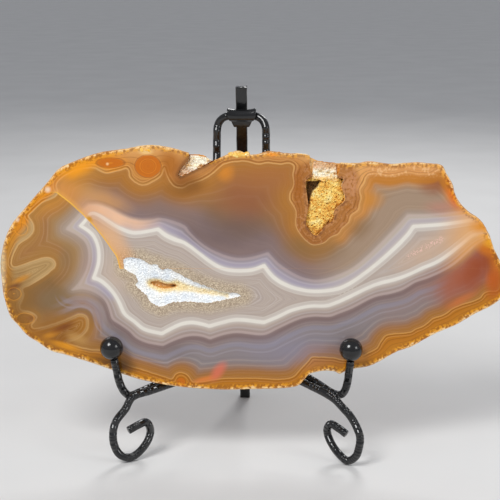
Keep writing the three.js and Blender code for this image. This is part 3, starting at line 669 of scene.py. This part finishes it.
def towards_rind(stone, colour):
    """From the pale line to the rind: amber, in plies that follow both, and nested fingers at the left."""
    shelf, shell, up = stone.shelf, stone.shell, stone.up
    finger = shelf * stone.edge.step(4.5, 9) * stone.left
    nested = shell.bands(1.4, 2)
    seen = 1 - stone.along.step(97, 105) * up.step(56, 62)
    colour = colour.over(
        ((226, 138, 4), shelf * stone.spot(-104, 113, 56, 26, 38).step(0, 0.5) * 0.85),
        ((190, 118, 8), shelf * stone.bottom * 0.6),
        ((150, 100, 36), shelf * stone.spot(-130, 48, 22, 22) * 0.8),
        ((244, 192, 100), stone.plies.step(0.55, 0.72) * shelf * 0.35),
        ((116, 62, 8), stone.plies.step(0.47, 0.3) * shelf * 0.5),
        ((222, 172, 108), shell.line(-0.1, 0.12, 0.4) * seen * (0.65 - stone.bottom * 0.3)),
        ((120, 64, 14), shell.line(0.9, 0.1, 0.45) * seen * 0.5),
        ((226, 170, 100), shell.line(1.7, 0.08, 0.3) * seen * (0.4 - stone.bottom * 0.2)),
        ((158, 106, 40), shell.line(-1.3, 0.4, 1.1) * seen * 0.4),
        ((176, 142, 90), finger * up.step(44, 50) * 0.85),
        ((170, 116, 44), finger * up.step(50, 44) * 0.7),
        ((216, 180, 124), nested.step(0.52, 0.64) * finger * 0.45),
        ((112, 74, 34), nested.step(0.45, 0.33) * finger * 0.4),
        ((196, 160, 108), shell.line(0.6, 0.5, 0.8) * stone.edge.step(4, 9) * stone.left * 0.4),
    )
    # The rind's stains, with the left ball's painted shadow
    return stone.stain_and_light(colour, RIM_STAINS_AND_BALL_SHADOW)


def inside_band(stone):
    """Inside the white band, where the lines close round the hollow."""
    vug, sparks, way = stone.vug, stone.sparks, (0 - stone.loop).most(0)
    weave = (way / (way + vug.most(0) + 0.01)).bands(24, 2)
    hair = way.bands(1.0, 2)
    colour = way.ramp(20, [(1.4, PEARL), (3, DOVE)])
    return colour.over(
        ((214, 208, 204), weave.step(0.5, 0.75) * 0.28),
        ((146, 134, 138), weave.step(0.48, 0.25) * 0.28),
        ((222, 212, 200), hair.step(0.52, 0.75) * 0.22),
        ((150, 138, 140), hair.step(0.45, 0.25) * 0.22),
        ((208, 172, 142), stone.spot(100, 80, 36, 12, 30) * 0.65),
        ((214, 186, 160), stone.spot(-76, 66, 14, 18) * 0.35),
        ((182, 160, 128), vug.step(8.5, 2) * 0.6),
        ((228, 212, 180), vug.step(7.5, 2) * sparks.step(0.5, 0.66) * 0.6),
        ((124, 102, 76), vug.step(7.5, 1) * sparks.step(0.46, 0.34) * 0.5),
        ((236, 196, 180), stone.seam.step(2.2, 0.4) * sparks.step(0.5, 0.6) * 0.8),
    )


def white_band(stone, colour):
    """The white band itself, which ends in orange at the right."""
    fade = stone.along.step(131, 112)
    return colour.over(
        ((206, 196, 188), stone.loop.line(-0.3, 1.3, 1.6) * fade * 0.5),
        ((232, 226, 214), stone.loop.line(0, 0.6, 0.8) * fade * (0.88 + stone.wobble * 0.5)),
        ((216, 208, 196), stone.loop.line(-2.6, 0.12, 0.4) * fade * 0.5),
        ((236, 166, 80), stone.loop.line(-1, 6, 6) * stone.along.step(98, 120) * 0.7),
    )


def surrounds(stone, colour):
    """The crumbly brown stone round the pocket and the notch, and the tan strip along the top edge."""
    striped, along, up = stone.striped, stone.along, stone.up
    crumbly = stone.pocket.step(10, 6) * stone.shelf
    tan = along.step(57, 66) * up.step(116, 119)
    return colour.over(
        ((160, 94, 24), crumbly * 0.8),
        ((206, 146, 96), crumbly * stone.plies.step(0.52, 0.66) * 0.4),
        ((104, 58, 26), crumbly * stone.plies.step(0.46, 0.32) * 0.45),
        ((206, 148, 100), crumbly * striped.step(0.5, 0.66) * 0.4),
        ((104, 56, 26), stone.pocket.step(2.6, 0.4) * striped.step(0.58, 0.42) * 0.65),
        ((164, 92, 8), stone.spot(24, 112, 4, 14) * 0.7),
        ((208, 146, 100), stone.spot(53, 115, 6.5, 13) * striped.step(0.36, 0.5) * 0.7),
        ((220, 150, 86), tan * 0.5),
        ((252, 208, 150), tan * striped.step(0.5, 0.64) * 0.45),
        ((190, 118, 26), stone.shell.line(-3, 1.2, 2) * along.step(60, 66) * up.step(108, 114) * 0.7),
        ((150, 82, 16), stone.notch.step(5, 0.6) * stone.shelf * 0.6),
        ((90, 48, 14), stone.notch.step(1.6, 0.3) * 0.5),
    )


def eyes_and_fault(stone, colour):
    """Orange cores in fine rings, and a golden seam with a glow on its upper side."""
    swirl = stone.along.step(-100, -112)
    core, rim = stone.eye.step(0.3, -1), stone.eye.step(1.5, 0.4)
    rings = stone.eye.bands(1.3, 1)
    fault, glow = stone.fault, stone.fault.step(-0.4, 0.1)
    return colour.over(
        ((200, 106, 0), core * (1 - swirl) * 0.95),
        ((152, 92, 36), core * swirl * 0.1),
        ((238, 156, 40), rings.step(0.52, 0.7) * rim * (0.3 + swirl * 0.2)),
        ((104, 54, 14), rings.step(0.47, 0.3) * rim * (0.3 - swirl * 0.15)),
        ((222, 150, 84), fault.step(13, 2) * glow * 0.5),
        ((236, 168, 74), fault.step(3.4, 0) * glow * 0.5),
        ((234, 184, 132), stone.spot(-78, 84, 16, 9, -48) * glow * 0.7),
        ((244, 186, 70), fault.line(0, 0.15, 0.35) * 0.85),
        ((206, 142, 16), stone.spot(-90.6, 95, 3, 2, -45) * 0.9),
    )


def paint_agate(wire, shader):
    """The polished stone from its heart out, and last the rim's bright amber and cream crumbs."""
    stone = Stone(wire)
    striped, edge = stone.striped, stone.edge
    colour = towards_rind(stone, outside_band(stone))
    colour = colour.blend(inside_band(stone), stone.loop.step(0.3, -0.3))
    for laid_over in (white_band, surrounds, eyes_and_fault):
        colour = laid_over(stone, colour)
    rough_edge = edge + stone.clumps * 5
    colour = colour.over(
        ((146, 84, 10), rough_edge.step(4, 1.4) * striped.step(0.54, 0.42) * 0.6),
        ((242, 166, 30), rough_edge.step(3.6, 1) * striped.step(0.45, 0.58) * 0.75),
        ((252, 222, 166), rough_edge.step(1.6, 0.2) * striped.step(0.42, 0.58) * 0.9),
        ((254, 214, 150), edge.step(0.8, 0.3) * 0.6),
    )
    stone.stain_and_light(colour, RIM_GLINTS).to(shader, "Base Color")
    (0.1 + edge.step(1.6, 0.2) * 0.5 + stone.sparks * stone.vug.step(5, 1) * 0.3).to(shader, "Roughness")
    crumbly = stone.pocket.step(10, 6) * stone.shelf
    relief = (rough_edge.step(3, 0.6) * striped + crumbly * striped * 0.4
              + stone.vug.step(6, 1) * stone.sparks * 0.1)
    relief.bump(0.7, 0.0007).to(shader, "Normal")


def paint_rind(wire, shader):
    """The nodule's sugary rind, and the rough floors of its recesses."""
    place = wire.coordinates()
    crumbs = wire.cells(place, 620)
    patches = wire.grain(place, 90, 4)
    colour = patches.ramp(1, [(0.3, (160, 92, 24)), (0.45, (212, 140, 48)), (0.55, (238, 190, 116)),
                              (0.7, (250, 230, 192))])
    hollow = wire.read("vug").step(0.6, -0.4)
    colour = colour.blend((238, 232, 222), hollow * 0.9)
    colour.blend((120, 70, 30), crumbs.step(0.35, 0.1) * 0.4).to(shader, "Base Color")
    (crumbs + patches).bump(0.9, 0.0008).to(shader, "Normal")


def set_in_slice(piece, slot, *nodes):
    """Moves a piece of the stone from the flat to its leaning place on the easel."""
    piece.data.transform(SLICE_PLACE)
    if nodes:
        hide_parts(*nodes)
    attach(piece, "front")


polished_agate = finish("polished_agate", paint_agate, Coat_Weight=0.25, Coat_Roughness=0.03)
slice_piece.data.materials.append(polished_agate)
slice_piece.data.materials.append(finish("agate_rind", paint_rind, Roughness=0.62))
for face in slice_piece.data.polygons:
    sawn = abs(face.normal.y) > 0.98 and (face.center.y < 0.2 or face.center.y > THICKNESS - 0.1)
    face.material_index = 0 if sawn else 1
set_in_slice(slice_piece, "agate", "agate_slice")

# The hollow's crust: clear to milky quartz crystals grown together over the hollow's walls and floor, their
# tips sawn off level with the slice. It sinks to a deep hole and, beside that, to a cream valley. Round the
# hole a painted glow of light through it turns the crystals cream and orange, and its brown bottom is
# painted shade.
HOLE = smooth_line([
    (-57.6, 59.4), (-54.5, 60.1), (-50.3, 58.6), (-44, 57.9), (-46, 56.8), (-51, 56.5), (-54.6, 57.4),
], steps=5)
VALLEY = np.array([(-42, 58.8), (-15, 53.4), (-15, 52), (-42, 56.2)])
CRUST_BACK = 5.9
CRUST_CELLS = (130, 56)
SAWN = -0.04


def scatter(line, spacing, margin, seed):
    """Jittered places inside a closed line, and the source of chance that goes on with them."""
    chance = np.random.default_rng(seed)
    line = np.array(line, float)
    low, high = line.min(0), line.max(0)
    axes = [np.arange(a, b, spacing) for a, b in zip(low, high)]
    grid = np.stack(np.meshgrid(*axes), -1).reshape(-1, 2)
    grid = grid + chance.uniform(-0.5, 0.5, grid.shape) * spacing
    return grid[within(grid, line) & (distance(grid, line) > margin)], chance


def crystal(body, place, size, long, turn):
    """A six-sided crystal with a pointed end towards the viewer."""
    stand = Matrix.Translation(place) @ turn @ Matrix.Rotation(math.pi / 2, 4, "X")
    shaft = bmesh.ops.create_cone(
        body, cap_ends=True, segments=6, radius1=size, radius2=size * 0.92, depth=long,
        matrix=stand @ Matrix.Translation((0, 0, -long / 2)),
    )["verts"]
    flat_again = stand.inverted()
    faces = {face for vert in shaft for face in vert.link_faces if len(face.verts) == 6}
    tip = [face for face in faces if all((flat_again @ vert.co).z > -0.01 for vert in face.verts)]
    for vert in bmesh.ops.poke(body, faces=tip)["verts"]:
        vert.co = stand @ Vector((size * 0.12, 0, size * 0.95))


def crust_depth(spots):
    """How deep the crust's surface lies: it rises to the walls, and dips to the hole and the valley."""
    to_hole = np.maximum(signed(spots, HOLE), 0)
    to_valley = np.maximum(signed(spots, VALLEY), 0)
    to_wall = distance(spots, np.array(VUG, float))
    # The share of warm colour: near the hole a painted glow of light and painted shade, in the valley cream
    warm = np.exp(-to_hole / 2) + 0.45 * np.exp(-to_valley / 1.8)
    deep = 0.05 + 0.85 * (1 - np.exp(-to_wall / 2))
    deep = deep + 4.2 * np.exp(-to_hole / 1.7) + 0.9 * np.exp(-to_valley / 1.6)
    return deep, warm


def lining(name, line, back, cells, surface):
    """A block that fills a recess up to a rough surface, from its depths at given places."""
    span, centre = np.ptp(line, axis=0) / 2 + 1, (line.max(0) + line.min(0)) / 2
    block = bmesh.new()
    bmesh.ops.create_grid(block, x_segments=cells[0], y_segments=cells[1], size=1)
    upright = Matrix.Translation((centre[0], back, centre[1])) @ Matrix.Rotation(math.pi / 2, 4, "X")
    bmesh.ops.transform(block, matrix=upright @ Matrix.Diagonal((*span, 1, 1)), verts=block.verts)
    grown = bmesh.ops.extrude_face_region(block, geom=block.faces[:], use_keep_orig=True)["geom"]
    front = [g for g in grown if isinstance(g, bmesh.types.BMVert)]
    for vert, deep in zip(front, surface(np.array([(v.co.x, v.co.z) for v in front]))):
        vert.co.y = deep
    bmesh.ops.recalc_face_normals(block, faces=block.faces)
    made = thing(name, block)
    combine(made, [thing("lining_wall", ring_solid([(-1, line), (back + 1, line)]))], "INTERSECT")
    return made


def lumps(spots, *sizes):
    """Noise at these places, the sum of (waves to the millimetre, height)."""
    return np.array([
        sum(high * noise.noise((x * wave, y * wave, wave)) for wave, high in sizes) for x, y in spots
    ])


def crust_surface(spots):
    """The floor that the crystals stand on."""
    return crust_depth(spots)[0] + 0.7 + lumps(spots, (0.9, 0.3), (2.1, 0.2))


crust_piece = lining("quartz_crystals", VUG_WALL, CRUST_BACK, CRUST_CELLS, crust_surface)
crust = bmesh.new()
crust.from_mesh(crust_piece.data)
# Large crystals, small ones between them, and a row along the wall, each set with its smallest and largest
for spots, chance, low, high in (
    (*scatter(VUG, 1.5, 0.5, 11), 0.7, 1.15), (*scatter(VUG, 0.9, 0.2, 12), 0.35, 0.7),
    (even_line(VUG_WALL, 150), np.random.default_rng(13), 0.35, 0.9),
):
    for (x, y), deep, far in zip(spots, crust_depth(spots)[0], signed(spots, HOLE)):
        size = chance.uniform(low, high)
        turn = Matrix.Rotation(chance.normal(0, 0.4), 4, "X")
        turn = turn @ Matrix.Rotation(chance.normal(0, 0.4), 4, "Z")
        turn = turn @ Matrix.Rotation(chance.uniform(0, math.pi), 4, "Y")
        if far > size * 0.6:
            crystal(crust, (x, deep + size * chance.uniform(0.7, 1), y), size, 1.8, turn)
for vert in crust.verts:
    vert.co.y = max(vert.co.y, SAWN)
crust.to_mesh(crust_piece.data)
crust.free()
mark(crust_piece, {"warm": crust_depth(depths_and_spots(crust_piece)[1])[1]})


def paint_quartz(wire, shader):
    """Frosty white points, bluish in their depths, cream in the valley, and round the hole a painted glow
    of light through it in cream and orange, with painted shade in brown at its bottom.
    """
    place = wire.coordinates()
    patches = wire.grain(place, 160, 3)
    warm = wire.read("warm") + (patches - 0.5) * 0.3
    colour = patches.ramp(1, [(0.3, (238, 243, 248)), (0.5, (250, 252, 252)), (0.7, (255, 254, 250))])
    # Painted glow of light through the hole in cream and orange, and painted shade in brown at its bottom
    colour = colour.over(
        ((252, 228, 164), warm.step(0.15, 0.6) * 0.85), ((222, 156, 66), warm.step(0.75, 1.0) * 0.9),
        ((110, 60, 10), warm.step(1.0, 1.1) * 0.9),
    )
    colour.to(shader, "Base Color")
    wire.grain(place, 1500, 2).bump(0.3, 0.0003).to(shader, "Normal")


crust_piece.data.materials.append(finish("milky_quartz", paint_quartz, Roughness=0.14, IOR=1.54))
set_in_slice(crust_piece, "quartz", "quartz_crust")

# The pocket's filling: weathered yellow ochre that packs the pocket, crumbly and pitted. A hole opens at
# its upper left, painted dark as shade, and the filling is painted browner where it lies deeper, as shade.
POCKET_HOLE = np.array([
    (28.6, 115.4), (35.5, 115.6), (34.6, 113), (31.8, 110.3), (30.4, 107), (29.4, 103), (28.8, 103),
])
FILLING_BACK = 5.45
FILLING_CELLS = (90, 130)


def ochre_depth(spots):
    """The filling's surface: bulging in its middle, pitted, and deep in the dark hole."""
    to_hole = np.maximum(signed(spots, POCKET_HOLE), 0)
    to_wall = distance(spots, np.array(POCKET, float))
    rough = lumps(spots, (0.22, 0.9), (0.6, 0.7), (1.5, 0.5))
    pits = np.maximum(lumps(spots + 9.0, (1.1, 3.2)) - 0.7, 0)
    deep = 1.5 + 1.5 * np.exp(-to_wall / 1.2) + rough + pits + 2.6 * np.exp(-to_hole / 0.5)
    return np.clip(deep, 0.4, 5.3)


pocket_line = even_line(smooth_line(POCKET, steps=6), 110)
filling_piece = lining("ochre_filling", pocket_line, FILLING_BACK, FILLING_CELLS, ochre_depth)
depths, spots = depths_and_spots(filling_piece)
mark(filling_piece, {"hollow": signed(spots, POCKET_HOLE), "depth": depths})


def paint_ochre(wire, shader):
    """Powdery yellow with dark pits, painted browner as shade where it lies deeper and dark as shade in the
    hole.
    """
    place = wire.coordinates()
    pits = wire.cells(place, 900)
    patches = wire.grain(place, 200, 4, 0.65)
    colour = patches.ramp(1, [(0.28, (196, 130, 40)), (0.4, (240, 180, 76)), (0.55, (254, 218, 120)),
                              (0.7, (255, 240, 176))])
    # Painted shade: browner where the filling lies deeper, and near black in the hole
    colour = colour.over(
        ((96, 56, 14), pits.step(0.2, 0.05) * 0.7), ((150, 88, 30), wire.read("depth").step(2.6, 4) * 0.6),
        ((70, 42, 10), wire.read("hollow").step(0.6, -0.4) * 0.9),
    )
    colour.to(shader, "Base Color")
    (pits + patches).bump(1, 0.0006).to(shader, "Normal")


filling_piece.data.materials.append(finish("yellow_ochre", paint_ochre, Roughness=0.9))
set_in_slice(filling_piece, "ochre", "pocket_filling")

# The bared rind: cream crystals that grew in the notch and on the saddle above the pocket, and the clear
# yellow and orange lumps that stand along the top edge.
NOTCH_FILL = [
    (-35.5, 129.8), (-31, 129.6), (-26.5, 128.6), (-23.2, 127), (-27.6, 124.4), (-37, 119.6),
    (-40.4, 118.1), (-41.9, 119.3), (-39.9, 123), (-36.3, 128),
]
SADDLE_FILL = [
    (32.3, 126.8), (38, 125.8), (44.6, 125.2), (44.9, 118.6), (46.6, 116.4), (43.4, 115.2), (40.2, 116.6),
    (37.6, 115.4), (34.4, 116.8), (31.4, 117),
]
# Rows of clear lumps: from, to, how high they stand, and their size
CLEAR_ROWS = [(-13, -4, 130.1, 1.7), (6, 13.5, 130.2, 1.5), (-62, -56.5, 132.2, 1.6)]
CLEAR_SPACING = 1.4


def crumb(body, place, size, chance, rough):
    """An uneven lump."""
    verts = bmesh.ops.create_icosphere(body, subdivisions=2, radius=size)["verts"]
    stretch = Matrix.Diagonal((*chance.uniform(0.75, 1.25, 3), 1))
    shift = Vector(chance.uniform(0, 50, 3))
    for vert in verts:
        vert.co *= 1 + rough * noise.noise(vert.co * (1.6 / size) + shift)
    turn = Matrix.Rotation(chance.uniform(0, 6.28), 4, "X")
    turn = turn @ Matrix.Rotation(chance.uniform(0, 6.28), 4, "Z")
    bmesh.ops.transform(body, matrix=Matrix.Translation(place) @ turn @ stretch, verts=verts)


def bared_piece(name, line, back, mean):
    """A floor of crystals of a mean depth that fills a recess from its back."""
    return lining(name, even_line(np.array(line), 90), back, (70, 60),
                  lambda spots: mean + lumps(spots, (0.35, 1.5), (0.9, 1.0), (2.2, 0.5)))


bared_pieces = [
    bared_piece("notch_crystals", NOTCH_FILL, 3.9, 1.9),
    bared_piece("saddle_crystals", SADDLE_FILL, 2.5, 0.95),
]
clear = bmesh.new()
chance = np.random.default_rng(33)
for left, right, level, size in CLEAR_ROWS:
    for x in np.arange(left, right, CLEAR_SPACING):
        crumb(clear, (x, chance.uniform(1.1, 1.7), level + chance.uniform(-0.4, 0.4)), size, chance, 0.25)
clear_piece = thing("clear_lumps", clear)


def paint_clear(wire, shader):
    """Clear yellow in the left lumps and orange in the right ones."""
    place = wire.coordinates()
    across = wire.node("ShaderNodeSeparateXYZ", {0: place})
    colour = wire.grain(place, 260, 3).ramp(1, [(0.35, (250, 180, 50)), (0.6, (255, 222, 130))])
    colour.blend((244, 140, 30), across.step(-0.001, 0.004) * 0.8).to(shader, "Base Color")


def paint_bared(wire, shader):
    """Cream sugary crystals, golden in the notch, and from tan to yellow down the saddle."""
    place = wire.coordinates()
    across = wire.node("ShaderNodeSeparateXYZ", {0: place})
    height = wire.node("ShaderNodeSeparateXYZ", {0: place}, output=2)
    on_saddle = across.step(0.02, 0.03)
    colour = wire.grain(place, 300, 4).ramp(1, [(0.3, (206, 146, 80)), (0.4, (246, 222, 172)),
                                                (0.5, (255, 248, 228))])
    colour = colour.over(
        ((226, 176, 124), on_saddle * height.step(0.1595, 0.1625) * 0.75),
        ((204, 142, 70), across.step(-0.032, -0.04) * 0.6),
        ((250, 200, 92), on_saddle * height.step(0.158, 0.1555) * 0.8),
    )
    colour.to(shader, "Base Color")
    wire.cells(place, 1200).bump(0.7, 0.0004).to(shader, "Normal")


clear_piece.data.materials.append(finish("clear_agate", paint_clear, Roughness=0.12))
set_in_slice(clear_piece, "agate")
cream_rind = finish("cream_rind", paint_bared, Roughness=0.45)
for piece in bared_pieces:
    piece.data.materials.append(cream_rind)
    set_in_slice(piece, "agate")

# The bow: 3/16 in round iron bent hot to a tall bow behind the slice, hammered, blackened and waxed. The
# easel's places are in millimetres, in the frame of its solids.
ROD = 4.76
FORGED = 0.93  # what the hammer leaves of the rod's width
ROD_SIDES = 20
DENT = 0.04
FRAME_LEAN = math.radians(5)
CROSSBAR = np.array((-7.3, -6.2, 188.8))
BOW_HALF_WIDTH = 13.6
BOW_SHOULDER = 9
BOW_RINGS = 170
WELD_HEIGHT = 56
WELD_GAP = 0.3
LEG_ENDS = {"left": -22.5, "right": 6.5}


def paint_iron(wire, shader):
    """Blackened iron with hammer facets and a thin wax sheen, worn grey in patches."""
    place = wire.coordinates()
    facets = wire.cells(place, 210, "SMOOTH_F1")
    scale = wire.grain(place, 900, 3)
    worn = wire.grain(place, 120, 4)
    colour = worn.ramp(1, [(0.35, (14, 14, 15)), (0.6, (22, 22, 23)), (0.8, (38, 37, 36))])
    colour.to(shader, "Base Color")
    (0.06 + worn * 0.16 + scale * 0.06).to(shader, "Roughness")
    (facets * 0.2 + scale * 0.25).bump(0.3, 0.0006).to(shader, "Normal")


iron = finish("black_iron", paint_iron, Specular_IOR_Level=0.6)


def on_frame(x, z):
    """A point of the bow's leaning plane."""
    return np.array((x, CROSSBAR[1] + (z - CROSSBAR[2]) * math.tan(FRAME_LEAN), z))


def rod(path, seed):
    """Round iron along a path, uneven from the hammer and cut square at its ends."""
    body = bmesh.new()
    path = [Vector(p) for p in path]
    circle = bmesh.ops.create_circle(body, cap_ends=True, segments=ROD_SIDES, radius=ROD / 2 * FORGED)
    verts = circle["verts"]
    face = verts[0].link_faces[0]
    heading = (path[1] - path[0]).normalized()
    frame_turn = heading.to_track_quat("Z", "Y")
    offsets = [vert.co.copy() for vert in verts]
    for index, point in enumerate(path):
        ahead = path[min(index + 1, len(path) - 1)] - path[max(index - 1, 0)]
        frame_turn = heading.rotation_difference(ahead.normalized()) @ frame_turn
        heading = ahead.normalized()
        if index:
            grown = bmesh.ops.extrude_face_region(body, geom=[face], use_keep_orig=index == 1)["geom"]
            face = next(g for g in grown if isinstance(g, bmesh.types.BMFace))
            verts = [g for g in grown if isinstance(g, bmesh.types.BMVert)]
        for vert, offset in zip(verts, offsets):
            spot = point + frame_turn @ offset
            hit = noise.noise(spot * 0.3 + Vector((seed, 0, 0)))
            vert.co = point + (spot - point) * (1 - DENT * max(hit, 0))
    bmesh.ops.recalc_face_normals(body, faces=body.faces)
    return body


def iron_piece(name, body, node, riding="front"):
    """An iron piece that stands for a node, its sharp ends eased."""
    ends = [e for e in body.edges if len(e.link_faces) == 2 and e.calc_face_angle(0) > math.radians(60)]
    bmesh.ops.bevel(body, geom=ends, offset=0.35, segments=2, profile=0.5, affect="EDGES", material=-1)
    bmesh.ops.recalc_face_normals(body, faces=body.faces)
    bmesh.ops.scale(body, vec=(MM, MM, MM), verts=body.verts)
    piece = thing(name, body)
    piece.data.materials.append(iron)
    for face in piece.data.polygons:
        face.use_smooth = True
    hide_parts(node)
    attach(piece, riding)


def bend(start, corner, end):
    """A quadratic bend from start to end."""
    return [(1 - t) ** 2 * start + 2 * t * (1 - t) * corner + t * t * end for t in np.linspace(0, 1, 9)]


left, right = CROSSBAR[0] - BOW_HALF_WIDTH, CROSSBAR[0] + BOW_HALF_WIDTH
top, low = CROSSBAR[2], CROSSBAR[2] - BOW_SHOULDER
bow_path = np.vstack([
    [on_frame(LEG_ENDS["left"], WELD_HEIGHT + WELD_GAP)],
    bend(on_frame(left, low), on_frame(left, top), on_frame(left + BOW_SHOULDER, top)),
    bend(on_frame(right - BOW_SHOULDER, top), on_frame(right, top), on_frame(right, low)),
    [on_frame(LEG_ENDS["right"], WELD_HEIGHT + WELD_GAP)],
])
iron_piece("bow_hammered", rod(even_line(bow_path, BOW_RINGS, False), 3.0), "bow")

# The feet: rods welded to the bow's legs, which run forward under the slice and curl into scrolls. Beside
# each lies a short rest arm, welded to it, that bends up in front of the slice and ends in a ball. Their
# points are along the foot's heading from where its scroll touches down, and up.
BALL = 12.7
ARM_OFFSET = 5.1
FOOT_RINGS = 190
ARM_RINGS = 80
FEET = {
    "left": {
        "touchdown": (-69.3, -45.4), "heading": math.radians(210), "side": -1,
        "run": [(-49.5, 45.4), (-40, 43.3), (-23.9, 40.9), (-12.7, 39.4), (-2, 37.8)],
        "scroll": [(2.5, 31.6), (8.4, 25.3), (10.3, 17.8), (9.2, 10.3), (6, 5), (0, 2.38), (-6, 5),
                   (-11.4, 11.5), (-12.3, 16.9), (-9.8, 21.4), (-4.9, 20.6), (1.1, 18.6)],
        "arm": [(-42, 43.8), (-24, 41.2), (-8.9, 37.8), (-2.8, 36.9), (0.7, 40), (3.3, 46), (4.8, 53.3),
                (6.1, 60)],
        "ball": (7.3, 66.5),
    },
    "right": {
        "touchdown": (51.5, -49.9), "heading": math.radians(-35), "side": 1,
        "run": [(-50.5, 45.4), (-42, 44.2), (-28.1, 41.9), (-9.4, 36.9), (-4.3, 33.4)],
        "scroll": [(1.6, 28.7), (5.3, 23.7), (7.6, 18.2), (7.1, 12), (5.2, 6.3), (0, 2.38), (-5.7, 5.1),
                   (-11.2, 11.1), (-13.4, 17.5), (-11.2, 21.5), (-5.9, 20.1), (-1, 17.9)],
        "arm": [(-43, 46), (-27, 42.6), (-12.4, 37.6), (-7.9, 38.1), (-5.4, 41.3), (-4, 46.3),
                (-3.2, 52.4), (-2.4, 59)],
        "ball": (-2.2, 65.5),
    },
}


def on_foot(foot, spot, aside=0.0):
    """A point of a foot's upright plane, moved sideways for the arm beside it."""
    ahead = np.array((math.cos(foot["heading"]), math.sin(foot["heading"])))
    beside = np.array((-ahead[1], ahead[0])) * foot["side"] * aside
    return np.array((*(np.array(foot["touchdown"]) + ahead * spot[0] + beside), spot[1]))


for number, (name, foot) in enumerate(FEET.items()):
    points = [on_frame(LEG_ENDS[name], WELD_HEIGHT), on_frame(LEG_ENDS[name], WELD_HEIGHT - 4)]
    points += [on_foot(foot, spot) for spot in foot["run"] + foot["scroll"]]
    scroll = rod(even_line(smooth_line(points, False), FOOT_RINGS, False), 10.0 * number + 7)
    iron_piece(f"{name}_foot_scroll", scroll, f"{name}_foot")
    arm = smooth_line([on_foot(foot, spot, ARM_OFFSET) for spot in foot["arm"]], False)
    arm = rod(even_line(arm, ARM_RINGS, False), 10.0 * number + 13)
    iron_piece(f"{name}_rest_arm_bent", arm, f"{name}_rest_arm")
    body = bmesh.new()
    bmesh.ops.create_uvsphere(body, u_segments=40, v_segments=24, radius=BALL / 2)
    bmesh.ops.translate(body, vec=on_foot(foot, foot["ball"], ARM_OFFSET), verts=body.verts)
    iron_piece(f"{name}_ball_forged", body, f"{name}_ball")

# The rear leg: 1/4 in square iron drawn out under the hammer, sheared off at its top and cut level at its
# foot, which is where it stands across and back.
BAR = 6.35
REAR_FOOT = (-5.8, 53.3)
REAR_TOP = 204.5
REAR_CUTS = 110
TORN = 1.6  # how far the shear left its top uneven
STRAP = {"width": 15.7, "thickness": 1.2, "clearance": 0.35, "tail": 8, "taper": 0.55, "lip": 0.9}
STRAP_CELLS = 12
hinge = STRAP["clearance"] + STRAP["thickness"] + WELD_GAP + (ROD + BAR) / 2
slope = math.atan2(REAR_FOOT[1] - CROSSBAR[1], CROSSBAR[2]) - math.asin(hinge / CROSSBAR[2])


def upright(edges, least):
    """Those edges that rise by more than so much."""
    return [e for e in edges if abs(e.verts[0].co.z - e.verts[1].co.z) > least]


body = bmesh.new()
middle = Matrix.Translation((0, 0, REAR_TOP / 2))
bmesh.ops.create_cube(body, size=1, matrix=middle @ Matrix.Diagonal((BAR, BAR, REAR_TOP, 1)))
bmesh.ops.bevel(body, geom=upright(body.edges, 1), offset=0.7, segments=2, profile=0.5, affect="EDGES",
                material=-1)
bmesh.ops.subdivide_edges(body, edges=upright(body.edges, 1), cuts=REAR_CUTS, use_grid_fill=True)
rising = set(upright(body.edges, 0.1))
wide = [e for e in body.edges if e.calc_length() > BAR / 2 and e not in rising]
bmesh.ops.subdivide_edges(body, edges=wide, cuts=5, use_grid_fill=True)
for vert in body.verts:
    x, y, z = vert.co
    hammered = 1 < z < REAR_TOP - 1
    dent = 1 - 0.1 * max(noise.noise(Vector((x * 0.25, y * 0.25, z * 0.22))), 0) * hammered
    torn = TORN * abs(noise.noise(Vector((x * 0.6, y * 0.6, 3)))) if z > REAR_TOP - 1 else 0
    aside = CROSSBAR[0] + (REAR_FOOT[0] - CROSSBAR[0]) * (1 - z / CROSSBAR[2])
    back = REAR_FOOT[1] + y * dent / math.cos(slope) - math.tan(slope) * z
    vert.co = (aside + x * dent, back, z - torn)
iron_piece("rear_leg_hammered", body, "rear_leg", "rear")

# The hinge strap: sheet iron folded over the bow's crossbar with a little play, its tail drawn narrower and
# welded to the rear leg's front. The corners of its upper edge are curled up.
middle = ROD / 2 + STRAP["clearance"] + STRAP["thickness"] / 2
turn = [(middle * math.cos(a), middle * math.sin(a)) for a in np.linspace(-0.35 * math.pi, math.pi, 22)]
fold = turn + [(-middle, -z) for z in np.linspace(0.8, STRAP["tail"], 8)]
body = bmesh.new()
verts = [body.verts.new((-STRAP["width"] / 2, -y, z)) for y, z in fold]
edges = [body.edges.new(pair) for pair in zip(verts, verts[1:])]
for _ in range(STRAP_CELLS):
    grown = bmesh.ops.extrude_edge_only(body, edges=edges)["geom"]
    verts = {g for g in grown if isinstance(g, bmesh.types.BMVert)}
    edges = [g for g in grown if isinstance(g, bmesh.types.BMEdge) and verts.issuperset(g.verts)]
    bmesh.ops.translate(body, vec=(STRAP["width"] / STRAP_CELLS, 0, 0), verts=list(verts))
for vert in body.verts:
    low_share = min(max(-vert.co.z / STRAP["tail"], 0), 1)
    vert.co.z += STRAP["lip"] * max(vert.co.z / middle, 0) * abs(2 * vert.co.x / STRAP["width"]) ** 3
    vert.co.x *= 1 + (STRAP["taper"] - 1) * low_share
bmesh.ops.recalc_face_normals(body, faces=body.faces)
bmesh.ops.solidify(body, geom=body.faces[:], thickness=STRAP["thickness"])
bmesh.ops.recalc_face_normals(body, faces=body.faces)
strap_place = Matrix.Translation(CROSSBAR) @ Matrix.Rotation(slope, 4, "X")
bmesh.ops.transform(body, matrix=strap_place, verts=body.verts)
iron_piece("hinge_strap_folded", body, "hinge_strap", "rear")
